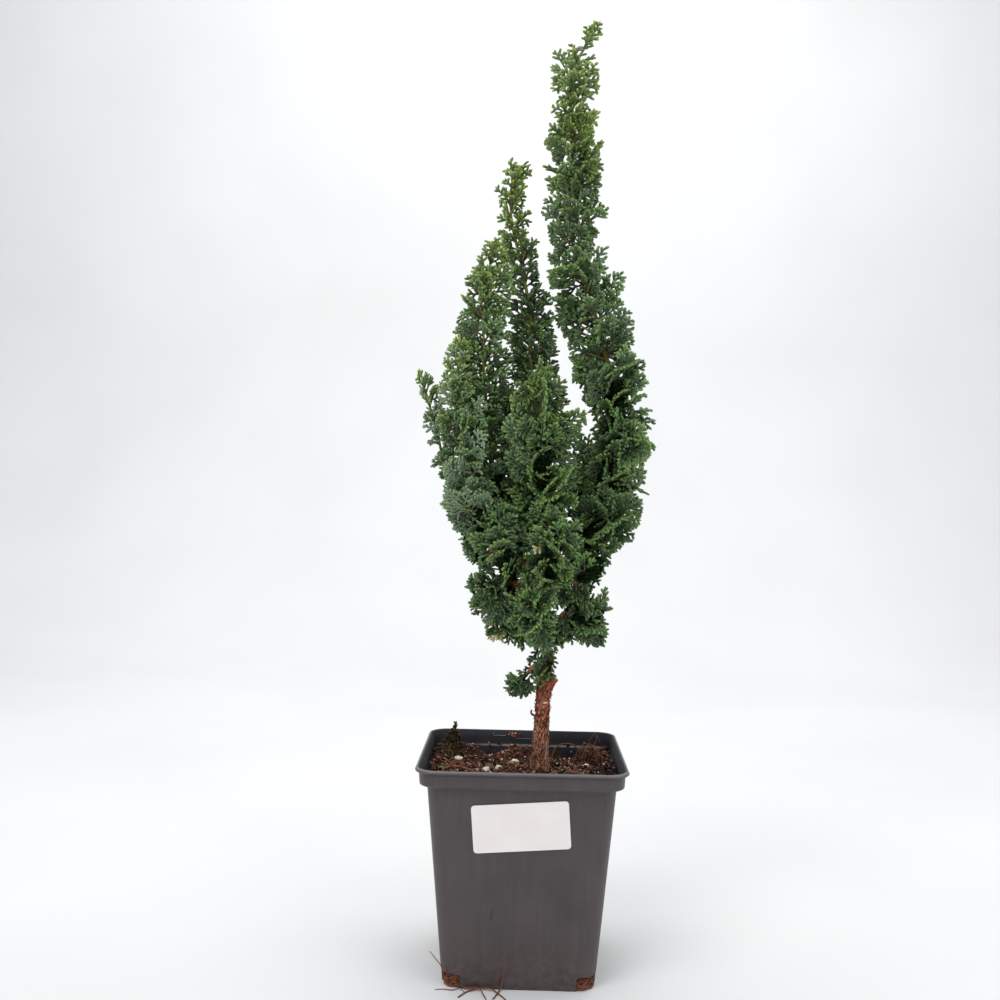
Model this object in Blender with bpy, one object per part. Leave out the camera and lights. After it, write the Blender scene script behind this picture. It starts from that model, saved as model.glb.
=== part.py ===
"""A young hinoki cypress grown as a bonsai, standing in a square plastic nursery pot.

World origin at the middle of the pot's flat base, +Z up, -Y towards the front with the label.
Every length is in metres; the tables of points are in millimetres and are scaled by MM.
"""

import math
import random

import bmesh
import bpy
import numpy as np
from mathutils import Vector
from mathutils.bvhtree import BVHTree

MM = 0.001
GAP = 0.3 * MM

# Pot: an 11 cm square nursery pot with a stepped collar and cut bottom corners
POT_HEIGHT = 115.6 * MM
POT_FOOT_HALF = 40.0 * MM
POT_TAPER = 0.085
POT_WALL = 1.3 * MM
POT_FLOOR = 2.0 * MM
COLLAR_BOTTOM = 106.2 * MM
COLLAR_HALF = 52.8 * MM
RIM_HALF = 55.0 * MM
BODY_CORNER = 9.0 * MM
RIM_CORNER = 10.5 * MM
CORNER_STEPS = 5
FOOT_CHAMFER = 0.8 * MM
COLLAR_STEP = 1.0 * MM
COLLAR_FLARE = 0.5 * MM
RIM_BAND = 2.1 * MM
RIM_ROUND = 0.4 * MM
NOTCH_WIDTH = 10.5 * MM
NOTCH_HEIGHT = 7.0 * MM
NOTCH_RISE = 2.0 * MM
NOTCH_ROUND = 1.2 * MM
NOTCH_OVERRUN = 2.0 * MM
SHARP_ANGLE = math.radians(40)

# Soil: root ball that fills the pot, lower at the back than at the front
SOIL_POINTS = 28
SOIL_RINGS = (0.93, 0.8, 0.64, 0.47, 0.31, 0.17, 0.07)
SOIL_FRONT = 106.0 * MM
SOIL_BACK = 101.5 * MM
SOIL_EDGE = 100.5 * MM
HEAP_HEIGHT = 0.9 * MM
HEAP_WAVES = (6.1 * MM, 5.3 * MM)
CLOD_HEIGHT = 0.75 * MM
CLOD_WAVES = (2.7 * MM, 3.9 * MM, 2.3 * MM, 4.3 * MM)
HOLE_RADIUS = 6.0 * MM
HOLE_BOTTOM = 58.0 * MM

# Trunk, as (x, y, z, radius) from its buried foot to the fork, in mm
TRUNK = (
    (9.5, 5, 58.3, 3.2),
    (9.7, 5, 80, 4.0),
    (9.8, 5, 98, 5.2),
    (9.9, 5, 104, 5.3),
    (10.0, 4.8, 110, 4.6),
    (10.2, 4.5, 120, 4.3),
    (10.6, 4, 132, 4.1),
    (11.1, 3.5, 143, 4.0),
    (11.8, 3, 152, 4.2),
    (12.2, 3, 158, 3.4),
    (12.3, 3, 166, 2.7),
    (12.2, 3, 178, 2.6),
    (11.6, 2.5, 190, 2.8),
    (11.8, 2, 200, 3.0),
    (12.2, 1, 208, 2.6),
)
TRUNK_SOIL_POINT = 3
TRUNK_SIDES = 8
TRUNK_STEP = 10.0 * MM
BARK_RELIEF = 0.09

# Side growth of the bare trunk: the cut stub and the hooked twig, as (x, y, z, radius) in mm
CUT_STUB = ((12.2, 3, 148.5, 3.0), (15.0, 2.6, 152.5, 2.9), (17.2, 2.2, 155.6, 2.5))
HOOKED_TWIG = (
    (10.0, 3.6, 133.6, 0.9),
    (6.2, 3.2, 134.2, 0.7),
    (4.6, 3.0, 135.4, 0.6),
    (4.9, 2.9, 137.2, 0.5),
)
TWIG_SIDES = 5

# Leafy stems: the bare branch as (x, y, z), then the leafy part as (x, y, z, reach of the sprays)
LEAFY_STEMS = {
    "right_leader": {
        "branch": ((12, 1, 203), (17, 0, 210)),
        "leafy": (
            (21, 0, 215, 8),
            (30, -1, 228, 15),
            (38, -1, 243, 18),
            (43, -2, 260, 20),
            (46, -2, 276, 21),
            (48, -2, 293, 19),
            (48, -2, 308, 19),
            (45, -2, 323, 20),
            (40, -1, 340, 18),
            (36, -1, 355, 21),
            (30, 0, 371, 21),
            (25, 1, 386, 16),
            (23, 2, 398, 14),
            (24, 3, 412, 16),
            (22, 4, 427, 18),
            (22, 5, 445, 16),
            (20, 5, 461, 14),
            (21, 6, 475, 13),
            (22, 6, 488, 11),
            (24, 6, 500, 8),
            (30, 6, 510, 6),
        ),
    },
    "middle_leader": {
        "branch": ((12, 3, 203), (8, 7, 218)),
        "leafy": (
            (6, 9, 234, 5),
            (4, 10, 250, 11),
            (4, 11, 271, 13),
            (4, 12, 293, 14),
            (3, 13, 313, 15),
            (1, 14, 329, 15),
            (0, 14, 344, 14),
            (0, 14, 360, 15),
            (-3, 14, 375, 13),
            (-6, 14, 389, 12),
            (-10, 13, 403, 12),
            (-12, 13, 416, 11),
            (-12, 12, 428, 9),
            (-8, 12, 437, 6),
        ),
    },
    "left_inner_leader": {
        "branch": ((-2, 1, 202), (-8, 1, 214)),
        "leafy": (
            (-12, 0, 228, 7),
            (-16, -1, 245, 13),
            (-18, -2, 264, 14),
            (-21, -3, 286, 14),
            (-23, -4, 303, 13),
            (-25, -5, 319, 12),
            (-25, -5, 335, 12),
            (-26, -5, 349, 13),
            (-27, -5, 363, 13),
            (-25, -5, 374, 11),
            (-21, -4, 388, 7),
        ),
    },
    "left_front_stem": {
        "branch": ((-2, 1, 202), (-11, -5, 213)),
        "leafy": (
            (-20, -9, 229, 7),
            (-26, -12, 246, 14),
            (-31, -13, 264, 14),
            (-35, -14, 280, 14),
            (-37, -14, 296, 13),
            (-39, -13, 310, 11),
            (-39, -13, 322, 11),
            (-38, -12, 334, 7),
        ),
    },
    "left_outer_stem": {
        "branch": ((12, 2, 192), (0, 1, 200), (-11, 0, 206)),
        "leafy": (
            (-19, 0, 213, 8),
            (-27, 0, 227, 14),
            (-35, 0, 242, 15),
            (-42, 0, 258, 15),
            (-46, 0, 272, 14),
            (-50, 1, 288, 11),
            (-54, 2, 302, 9),
            (-58, 2, 315, 7),
        ),
    },
    "centre_front_stem": {
        "branch": ((12, 1, 203), (10, -4, 213)),
        "leafy": (
            (9, -8, 225, 6),
            (8, -12, 239, 14),
            (7, -15, 255, 17),
            (7, -17, 273, 18),
            (7, -18, 289, 18),
            (6, -18, 302, 17),
            (6, -18, 311, 11),
        ),
    },
    "back_stem": {
        "branch": ((12, 3, 198), (6, 9, 208)),
        "leafy": (
            (0, 15, 217, 6),
            (-6, 22, 231, 14),
            (-9, 26, 250, 16),
            (-11, 28, 270, 16),
            (-12, 28, 290, 15),
            (-12, 27, 308, 11),
        ),
    },
    "back_right_stem": {
        "branch": ((12, 3, 198), (19, 9, 207)),
        "leafy": (
            (24, 14, 215, 6),
            (30, 20, 228, 13),
            (33, 24, 245, 15),
            (34, 26, 263, 14),
            (34, 26, 279, 10),
        ),
    },
    "low_left_spray": {
        "branch": ((12, 2, 188), (4, -1, 194)),
        "leafy": ((-3, -3, 198, 8), (-11, -5, 203, 12), (-20, -6, 206, 12), (-27, -6, 208, 9)),
    },
    "low_left_back_spray": {
        "branch": ((12, 3, 176), (5, 5, 181)),
        "leafy": ((-1, 7, 185, 7), (-8, 9, 190, 12), (-17, 10, 192, 12), (-25, 10, 194, 9)),
    },
    "low_right_spray": {
        "branch": ((12, 2, 176), (18, -1, 180)),
        "leafy": ((23, -4, 184, 9), (30, -7, 188, 15), (38, -8, 191, 14), (43, -8, 194, 9)),
    },
    "low_right_back_spray": {
        "branch": ((12, 3, 182), (18, 8, 187)),
        "leafy": ((23, 13, 190, 9), (29, 19, 195, 15), (34, 24, 200, 14), (38, 26, 204, 9)),
    },
    "low_front_spray": {
        "branch": ((12, 1, 182), (10, -4, 184)),
        "leafy": ((8, -9, 186, 9), (6, -17, 190, 16), (4, -26, 196, 15), (3, -32, 200, 9)),
    },
    "low_back_spray": {
        "branch": ((12, 3, 188), (9, 9, 192)),
        "leafy": ((6, 15, 196, 9), (3, 24, 201, 15), (1, 32, 207, 13), (0, 36, 211, 9)),
    },
    "fork_front_spray": {
        "branch": ((12, 1, 196), (11, -5, 203)),
        "leafy": ((11, -10, 208, 9), (13, -19, 217, 17), (14, -25, 229, 16), (14, -27, 239, 10)),
    },
    "fork_right_spray": {
        "branch": ((17, 0, 208), (23, -5, 209)),
        "leafy": ((28, -9, 210, 9), (35, -14, 214, 15), (42, -15, 220, 14), (47, -14, 226, 9)),
    },
    "fork_left_spray": {
        "branch": ((0, 1, 200), (-3, -6, 205)),
        "leafy": ((-5, -12, 209, 8), (-10, -18, 217, 16), (-13, -22, 229, 15), (-14, -23, 239, 10)),
    },
    "trunk_right_spray": {
        "branch": ((12, 3, 171), (14, -1, 170)),
        "leafy": ((16, -4, 168, 3), (17, -5, 163, 6), (17, -5, 159, 5)),
    },
    "trunk_left_spray": {
        "branch": ((12, 3, 163), (7, 2, 162)),
        "leafy": ((3, 1, 161, 3), (-2, 0, 158, 8), (-7, 0, 154, 7)),
    },
}
BRANCH_START_RADIUS = 2.3 * MM
BRANCH_END_RADIUS = 1.4 * MM
BRANCH_SIDES = 5
BRANCH_STEP = 12.0 * MM
BRANCH_RELIEF = 0.06

# The green middle of a leafy stem: short shoots raised from its surface, which the sprays stand out of
CORE_VALLEY = 0.40
CORE_TIP = (0.64, 0.94)
CORE_TIP_LIFT = (0.5, 1.0)
CORE_NECK = 2.0 * MM
STEM_CLEARANCE = 1.0 * MM
BARE_CLEARANCE = 4.2 * MM
CORE_STEP = 5.9 * MM
CORE_SIDES_SMALL = 8
CORE_SIDES_LARGE = 10
LARGE_REACH = 12.5 * MM
CORE_TURN_DRAW = 0.28
CORE_END_RADIUS = 1.0 * MM
DRAW_IN = 0.88

# Fan sprays, set along a leafy stem by the golden angle
GOLDEN_ANGLE = math.radians(137.5)
CORE_SHARE = 0.46
SPRAY_SPACING = 13.0 * MM
SPRAY_SPACING_SHARE = 0.40
SPRAY_RISE = math.radians(42)
SPRAY_THICKNESS = 0.8 * MM
SPRAY_CLEARANCE = 0.45 * MM
SPRAY_ROOT_SHARE = 0.35
SPRAY_TURN_DRAW = 0.35
SPRAY_RISE_DRAW = 0.22
SPRAY_ROLL_DRAW = 1.1
SPRAY_LENGTH_DRAW = (0.94, 1.12)
SPRAY_CUP_DRAW = (0.15, 0.45)
SPRAY_BEND_DRAW = (-0.16, 0.12)
LEAST_RISE_COSINE = 0.5
END_SPRAY_RISE = math.radians(75)
ROOT_JITTER = 0.4 * MM
FINGERS = 5
FINGER_SPREAD = math.radians(68)
FINGER_HALF = 1.5 * MM
FULL_FINGER_LENGTH = 25.0 * MM
FINGER_TAPER = 0.8
FINGER_REACH = 0.9
FINGER_STAGGER = 0.12
RIB_SHARE = 0.22
RIB_MIDDLE = 0.4

# Turn and shrink of a spray, tried in this order until it clears every other stem
SPRAY_TRIES = (
    (0.0, 1.0),
    (0.6, 1.0),
    (-0.6, 1.0),
    (0.3, 0.86),
    (-0.9, 0.86),
    (0.9, 0.74),
    (-0.3, 0.74),
    (0.0, 0.6),
    (1.4, 0.6),
)

# Label: a blank sticker on the front wall
LABEL_WIDTH = 50.0 * MM
LABEL_HEIGHT = 25.0 * MM
LABEL_THICKNESS = 0.4 * MM
LABEL_CORNER = 1.6 * MM
LABEL_CENTRE_Z = 86.5 * MM
LABEL_TURN = math.radians(4.2)

# Dry moss tuft at the back left of the soil
TUFT_FOOT = (-39.0 * MM, 36.0 * MM)
TUFT_DROP_FROM = 115.0 * MM
TUFT_LUMP_RADII = (3.9 * MM, 2.9 * MM, 1.3 * MM)
TUFT_BLADES = 6
TUFT_HEIGHT = 18.0 * MM
TUFT_SHORTEST = 0.45
TUFT_LEAN = (0.15, 0.9)
TUFT_BLADE_SIDES = 4
TUFT_BLADE_RADII = (0.9 * MM, 1.2 * MM, 0.3 * MM)
TUFT_BLADE_RELIEF = 0.15

# First seed of the draws of each kind of piece
TUFT_SEED = 7
TRUNK_SEED = 11
STUB_SEED = 12
TWIG_SEED = 13
BRANCH_SEED = 20
CORE_SEED = 50
BLADE_SEED = 90
SPRAY_SEED_STEP = 1000


def material(name, colour, roughness):
    made = bpy.data.materials.new(name)
    made.use_nodes = True
    shader = made.node_tree.nodes["Principled BSDF"]
    shader.inputs["Base Color"].default_value = (*colour, 1.0)
    shader.inputs["Roughness"].default_value = roughness
    shader.inputs["Metallic"].default_value = 0.0
    return made


def add_object(name, bm, collection, surface=None):
    """A mesh object from a bmesh, which is freed."""
    mesh = bpy.data.meshes.new(name)
    bm.to_mesh(mesh)
    bm.free()
    obj = bpy.data.objects.new(name, mesh)
    collection.objects.link(obj)
    if surface:
        mesh.materials.append(surface)
    return obj


def shade_round(obj):
    """Smooth shading, with the edges sharper than SHARP_ANGLE kept."""
    obj.data.shade_smooth()
    obj.data.set_sharp_from_angle(angle=SHARP_ANGLE)


def loft(rings):
    """A closed bmesh through rings of equally many points, capped at both ends."""
    bm = bmesh.new()
    rows = [[bm.verts.new(point) for point in ring] for ring in rings]
    count = len(rows[0])
    for low, high in zip(rows, rows[1:]):
        for k in range(count):
            after = (k + 1) % count
            bm.faces.new((low[k], low[after], high[after], high[k]))
    bm.faces.new(list(reversed(rows[0])))
    bm.faces.new(rows[-1])
    bmesh.ops.recalc_face_normals(bm, faces=bm.faces[:])
    bmesh.ops.triangulate(bm, faces=bm.faces[:])
    return bm


# Pot


def wall_half(z):
    """Half the outside width of the pot's body at height z."""
    return POT_FOOT_HALF + z * POT_TAPER


def rounded_square(half, corner, z):
    """A square ring with arc corners, counted round from the right side."""
    points = []
    for quarter in range(4):
        turn = quarter * math.pi / 2
        centre = Vector((half - corner, half - corner))
        for k in range(CORNER_STEPS + 1):
            angle = k * math.pi / 2 / CORNER_STEPS
            x = centre.x + corner * math.cos(angle)
            y = centre.y + corner * math.sin(angle)
            points.append(
                (
                    x * math.cos(turn) - y * math.sin(turn),
                    x * math.sin(turn) + y * math.cos(turn),
                    z,
                )
            )
    return points


def pot_profile():
    """(half width, corner radius, height) from the base, up the outside, over the rim, down inside."""
    inner = COLLAR_HALF - POT_WALL
    inner_corner = RIM_CORNER - POT_WALL
    ledge = COLLAR_BOTTOM + POT_WALL
    outside = [
        (wall_half(0) - FOOT_CHAMFER, BODY_CORNER - FOOT_CHAMFER, 0.0),
        (wall_half(0), BODY_CORNER, FOOT_CHAMFER),
        (wall_half(COLLAR_BOTTOM), BODY_CORNER, COLLAR_BOTTOM),
        (COLLAR_HALF - COLLAR_STEP / 2, BODY_CORNER, COLLAR_BOTTOM + COLLAR_STEP / 4),
        (COLLAR_HALF, RIM_CORNER, COLLAR_BOTTOM + COLLAR_STEP),
        (COLLAR_HALF + COLLAR_FLARE, RIM_CORNER, POT_HEIGHT - RIM_BAND - RIM_ROUND),
        (RIM_HALF - RIM_ROUND, RIM_CORNER, POT_HEIGHT - RIM_BAND),
        (RIM_HALF, RIM_CORNER, POT_HEIGHT - RIM_BAND / 2),
        (RIM_HALF - RIM_ROUND, RIM_CORNER, POT_HEIGHT - RIM_ROUND),
        (RIM_HALF - 3 * RIM_ROUND, RIM_CORNER, POT_HEIGHT),
    ]
    inside = [
        (inner + 2 * RIM_ROUND, inner_corner, POT_HEIGHT - RIM_ROUND),
        (inner + RIM_ROUND / 2, inner_corner, POT_HEIGHT - 3 * RIM_ROUND),
        (inner - RIM_ROUND / 2, inner_corner, ledge + COLLAR_STEP),
        (inner - COLLAR_STEP, BODY_CORNER - COLLAR_STEP, ledge),
        (wall_half(ledge) - POT_WALL, BODY_CORNER - POT_WALL, ledge - COLLAR_STEP / 2),
        (wall_half(POT_FLOOR) - POT_WALL, BODY_CORNER - POT_WALL, POT_FLOOR),
    ]
    return outside + inside


def notch_cutter(name, quarter, collection):
    """A block across one bottom corner, higher at the corner itself."""
    bm = bmesh.new()
    bmesh.ops.create_cube(bm, size=1.0)
    inner = wall_half(NOTCH_HEIGHT) - NOTCH_WIDTH
    outer = RIM_HALF
    for vert in bm.verts:
        x = outer if vert.co.x > 0 else inner
        y = outer if vert.co.y > 0 else inner
        top = NOTCH_HEIGHT + NOTCH_RISE * ((vert.co.x > 0) + (vert.co.y > 0)) / 2
        vert.co = (x, y, top if vert.co.z > 0 else -NOTCH_OVERRUN)
    upper = [e for e in bm.edges if all(v.co.z > 0 for v in e.verts)]
    inward = [e for e in upper if any(v.co.x < outer and v.co.y < outer for v in e.verts)]
    bmesh.ops.bevel(bm, geom=inward, offset=NOTCH_ROUND, segments=2, affect="EDGES", profile=0.5)
    bmesh.ops.triangulate(bm, faces=bm.faces[:])
    cutter = add_object(name, bm, collection)
    cutter.rotation_euler.z = quarter * math.pi / 2
    cutter.display_type = "WIRE"
    cutter.hide_render = True
    return cutter


def build_pot(parts, cutters, surface):
    bm = loft([rounded_square(half, corner, z) for half, corner, z in pot_profile()])
    pot = add_object("pot", bm, parts, surface)
    shade_round(pot)
    for quarter in range(4):
        cutter = notch_cutter(f"drain_notch_{quarter}", quarter, cutters)
        cut = pot.modifiers.new(f"drain_notch_{quarter}", "BOOLEAN")
        cut.operation = "DIFFERENCE"
        cut.solver = "EXACT"
        cut.object = cutter


# Soil


def square_point(half, corner, angle):
    """The point of a rounded square in one direction from its middle."""
    c, s = abs(math.cos(angle)), abs(math.sin(angle))
    reach = half / max(c, s)
    flat = half - corner
    if min(c, s) * reach > flat:
        along = flat * (c + s)
        reach = along + math.sqrt(along * along - 2 * flat * flat + corner * corner)
    return Vector((reach * math.cos(angle), reach * math.sin(angle)))


def soil_height(x, y):
    """The soil's surface: falling to the back, in low heaps."""
    half = RIM_HALF
    slope = SOIL_FRONT + (SOIL_BACK - SOIL_FRONT) * (y + half) / (2 * half)
    heaps = math.sin(x / HEAP_WAVES[0] + 1.3) * math.sin(y / HEAP_WAVES[1] + 0.4)
    clods = math.sin(x / CLOD_WAVES[0] + y / CLOD_WAVES[1])
    clods *= math.sin(y / CLOD_WAVES[2] - x / CLOD_WAVES[3])
    return slope + HEAP_HEIGHT * heaps + CLOD_HEIGHT * clods


def build_soil(parts, surface):
    corner = BODY_CORNER - POT_WALL - GAP
    bottom = POT_FLOOR + GAP
    angles = [2 * math.pi * k / SOIL_POINTS for k in range(SOIL_POINTS)]
    rings = []
    for z in (bottom, SOIL_EDGE):
        half = wall_half(z) - POT_WALL - GAP
        rings.append([(*square_point(half, corner, a), z) for a in angles])
    centre = Vector(TRUNK[TRUNK_SOIL_POINT][:2]) * MM
    outer = wall_half(SOIL_EDGE) - POT_WALL - GAP
    for share in SOIL_RINGS:
        ring = []
        for angle in angles:
            rim = square_point(outer, corner, angle)
            hole = centre + HOLE_RADIUS * Vector((math.cos(angle), math.sin(angle)))
            point = hole.lerp(rim, share)
            ring.append((*point, soil_height(*point)))
        rings.append(ring)
    for z in (None, HOLE_BOTTOM - GAP):
        ring = []
        for angle in angles:
            point = centre + HOLE_RADIUS * Vector((math.cos(angle), math.sin(angle)))
            ring.append((*point, soil_height(*point) if z is None else z))
        rings.append(ring)
    return add_object("soil", loft(rings), parts, surface)


# Trunk, branches and the cores of leafy stems


def smooth_route(points, step):
    """Points read from a Catmull-Rom curve through the given ones, each a tuple of equally many numbers."""
    ends = [points[0], *points, points[-1]]
    made = []
    for before, start, end, after in zip(ends, ends[1:], ends[2:], ends[3:]):
        span = (Vector(end[:3]) - Vector(start[:3])).length
        pieces = max(1, round(span / step))
        for k in range(pieces):
            t = k / pieces
            made.append(
                tuple(
                    0.5
                    * (
                        2 * b
                        + (c - a) * t
                        + (2 * a - 5 * b + 4 * c - d) * t * t
                        + (3 * b - a - 3 * c + d) * t * t * t
                    )
                    for a, b, c, d in zip(before, start, end, after)
                )
            )
    made.append(tuple(points[-1]))
    return made


def directions(points):
    """The unit tangent at each point of a route."""
    places = [Vector(p[:3]) for p in points]
    last = len(places) - 1
    return [(places[min(i + 1, last)] - places[max(i - 1, 0)]).normalized() for i in range(last + 1)]


def cross_axes(tangents):
    """Two axes across each tangent, carried along the route without twist."""
    first = tangents[0]
    side = first.cross(Vector((0, 1, 0)))
    if side.length < 0.3:
        side = first.cross(Vector((1, 0, 0)))
    side.normalize()
    axes = []
    for tangent in tangents:
        side = (side - tangent * side.dot(tangent)).normalized()
        axes.append((side, tangent.cross(side)))
    return axes


def lumpy_tube(stations, sides, lumps, seed):
    """A closed tube through (x, y, z, radius) stations, each section made uneven by seeded draws."""
    draws = random.Random(seed)
    rings = []
    for station, (side, up) in zip(stations, cross_axes(directions(stations))):
        centre = Vector(station[:3])
        ring = []
        for k in range(sides):
            angle = 2 * math.pi * k / sides
            radius = station[3] * (1 + lumps * draws.uniform(-1, 1))
            ring.append(centre + radius * (side * math.cos(angle) + up * math.sin(angle)))
        rings.append(ring)
    return loft(rings)


def scaled(points):
    return [tuple(value * MM for value in point) for point in points]


def stem_stations(stem):
    """The branch and the leafy part of a stem, cut from one smooth curve at the leafy foot."""
    branch = scaled(stem["branch"])
    leafy = scaled(stem["leafy"])
    whole = [(*p, 0.0) for p in branch] + leafy
    foot = Vector(leafy[0][:3])
    route = smooth_route(whole, BRANCH_STEP)
    cut = min(range(len(route)), key=lambda i: (Vector(route[i][:3]) - foot).length)
    bare = []
    for i, point in enumerate(route[: cut + 1]):
        radius = BRANCH_START_RADIUS + (BRANCH_END_RADIUS - BRANCH_START_RADIUS) * i / cut
        bare.append((*point[:3], radius))
    along = (Vector(route[cut][:3]) - Vector(route[cut - 1][:3])).normalized()
    start = foot + along * GAP
    neck = foot + along * CORE_NECK
    return bare, [(*start, 0.0), (*neck, leafy[0][3]), *leafy[1:]]


def stem_samples():
    """Points along every leafy part, with their reach, and along every bare part, by stem name."""
    leafy_points = {}
    bare_points = {"trunk": np.array(smooth_route(scaled(TRUNK), CORE_STEP))[:, :3]}
    for name, stem in LEAFY_STEMS.items():
        bare, leafy = stem_stations(stem)
        leafy_points[name] = np.array(smooth_route(leafy[1:], CORE_STEP / 2))
        bare_points[name] = np.array(smooth_route(bare, CORE_STEP / 2))[:, :3]
    return leafy_points, bare_points


def rivals_of(name, samples):
    """What a stem has to stay clear of: the other leafy parts, and the other bare parts."""
    leafy_points, bare_points = samples
    leafy = np.concatenate([points for other, points in leafy_points.items() if other != name])
    bare = np.concatenate([points for other, points in bare_points.items() if other != name])
    return leafy, bare


def clear_radius(centre, out, lift, radius, reach, rivals):
    """The radius drawn in until the point is nearer to its own stem than to any other, by their reach."""
    leafy, bare = rivals
    while radius > BRANCH_END_RADIUS:
        point = np.array(centre + out * radius + lift)
        to_leafy = np.linalg.norm(leafy[:, :3] - point, axis=1) - STEM_CLEARANCE
        to_bare = np.linalg.norm(bare - point, axis=1).min()
        if (to_leafy / leafy[:, 3]).min() > radius / reach and to_bare > BARE_CLEARANCE:
            break
        radius *= DRAW_IN
    return radius


def leafy_core(leafy, seed, rivals):
    """The middle of a leafy stem: a tube whose every other point is drawn out and up as a short shoot."""
    draws = random.Random(seed)
    route = [leafy[0], *smooth_route(leafy[1:], CORE_STEP)]
    sides = CORE_SIDES_LARGE if max(p[3] for p in leafy) > LARGE_REACH else CORE_SIDES_SMALL
    tangents = directions(route)
    last = len(route) - 1
    rings = []
    for i, (x, y, z, reach) in enumerate(route):
        side, up = cross_axes(tangents)[i]
        ring = []
        for k in range(sides):
            angle = 2 * math.pi * (k + draws.uniform(-CORE_TURN_DRAW, CORE_TURN_DRAW)) / sides
            radius = max(reach * CORE_VALLEY, BRANCH_END_RADIUS)
            lift = Vector()
            tip = draws.uniform(*CORE_TIP)
            raised = draws.uniform(*CORE_TIP_LIFT)
            if (i + k) % 2 and 1 < i < last:
                radius = max(reach * tip, radius)
                lift = tangents[i] * CORE_STEP * raised
            if i == last:
                radius = CORE_END_RADIUS
            out = side * math.cos(angle) + up * math.sin(angle)
            centre = Vector((x, y, z))
            if i > 1:
                radius = clear_radius(centre, out, lift, radius, reach, rivals)
            ring.append(centre + out * radius + lift)
        rings.append(ring)
    return loft(rings)


def join_all(obj, pieces, helpers):
    """Joins the pieces to the object by one Boolean union on their collection, and removes them."""
    if not pieces:
        return
    union = obj.modifiers.new("union", "BOOLEAN")
    union.operation = "UNION"
    union.solver = "MANIFOLD"
    union.operand_type = "COLLECTION"
    union.collection = helpers
    graph = bpy.context.evaluated_depsgraph_get()
    joined = bpy.data.meshes.new_from_object(obj.evaluated_get(graph))
    old = obj.data
    obj.modifiers.remove(union)
    obj.data = joined
    joined.name = obj.name
    bpy.data.meshes.remove(old)
    for piece in pieces:
        mesh = piece.data
        bpy.data.objects.remove(piece)
        bpy.data.meshes.remove(mesh)


def keep_largest_shell(obj):
    """Drops loose scraps and fills sealed hollows: both are shells apart from the main one."""
    bm = bmesh.new()
    bm.from_mesh(obj.data)
    left = set(bm.verts)
    shells = []
    while left:
        shell = {left.pop()}
        edge = list(shell)
        while edge:
            for link in edge.pop().link_edges:
                for vert in link.verts:
                    if vert in left:
                        left.discard(vert)
                        shell.add(vert)
                        edge.append(vert)
        shells.append(shell)
    shells.sort(key=len)
    for shell in shells[:-1]:
        bmesh.ops.delete(bm, geom=list(shell), context="VERTS")
    bm.to_mesh(obj.data)
    bm.free()


def build_trunk(parts, helpers, surface):
    """The trunk with its stub, twig and the bare branches, joined in one solid."""
    bole = lumpy_tube(smooth_route(scaled(TRUNK), TRUNK_STEP), TRUNK_SIDES, BARK_RELIEF, TRUNK_SEED)
    trunk = add_object("trunk", bole, parts, surface)
    stub = lumpy_tube(scaled(CUT_STUB), BRANCH_SIDES, BARK_RELIEF, STUB_SEED)
    twig = lumpy_tube(scaled(HOOKED_TWIG), TWIG_SIDES, 0.0, TWIG_SEED)
    pieces = [add_object("stub", stub, helpers), add_object("twig", twig, helpers)]
    for index, stem in enumerate(LEAFY_STEMS.values()):
        bare, _ = stem_stations(stem)
        branch = lumpy_tube(bare, BRANCH_SIDES, BRANCH_RELIEF, BRANCH_SEED + index)
        pieces.append(add_object("branch", branch, helpers))
    join_all(trunk, pieces, helpers)
    keep_largest_shell(trunk)
    shade_round(trunk)
    return trunk


# Fan sprays


def fan_outline(length, inner, grow):
    """Blunt fingers spread from a short rib and cut nearly to it, in the plane of the spray.

    The rib starts at the root and its fingers at inner, where the spray leaves the core.
    """
    half = FINGER_HALF * min(1.0, 0.5 + 0.5 * length / FULL_FINGER_LENGTH) + grow
    gap_angle = 2 * FINGER_SPREAD / (FINGERS - 1)
    notch = half / math.sin(gap_angle / 2)
    points = [(0.0, half), (0.0, -half)]
    ribs = []
    for k in range(FINGERS):
        side = 2 * k / (FINGERS - 1) - 1
        base = inner + (length - inner) * RIB_SHARE * (RIB_MIDDLE - abs(side))
        ribs.append((Vector((base, 0.0)), side * FINGER_SPREAD))
    for k, (root, angle) in enumerate(ribs):
        out = (length - inner) * (FINGER_REACH - FINGER_STAGGER * (k % 2)) + grow
        along = Vector((math.cos(angle), math.sin(angle)))
        across = Vector((-along.y, along.x)) * half * FINGER_TAPER
        points.append(tuple(root + along * out - across))
        points.append(tuple(root + along * out + across))
        if k < FINGERS - 1:
            next_root, next_angle = ribs[k + 1]
            between = (angle + next_angle) / 2
            middle = (root + next_root) / 2
            points.append((middle.x + notch * math.cos(between), middle.y + notch * math.sin(between)))
    return points


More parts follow.
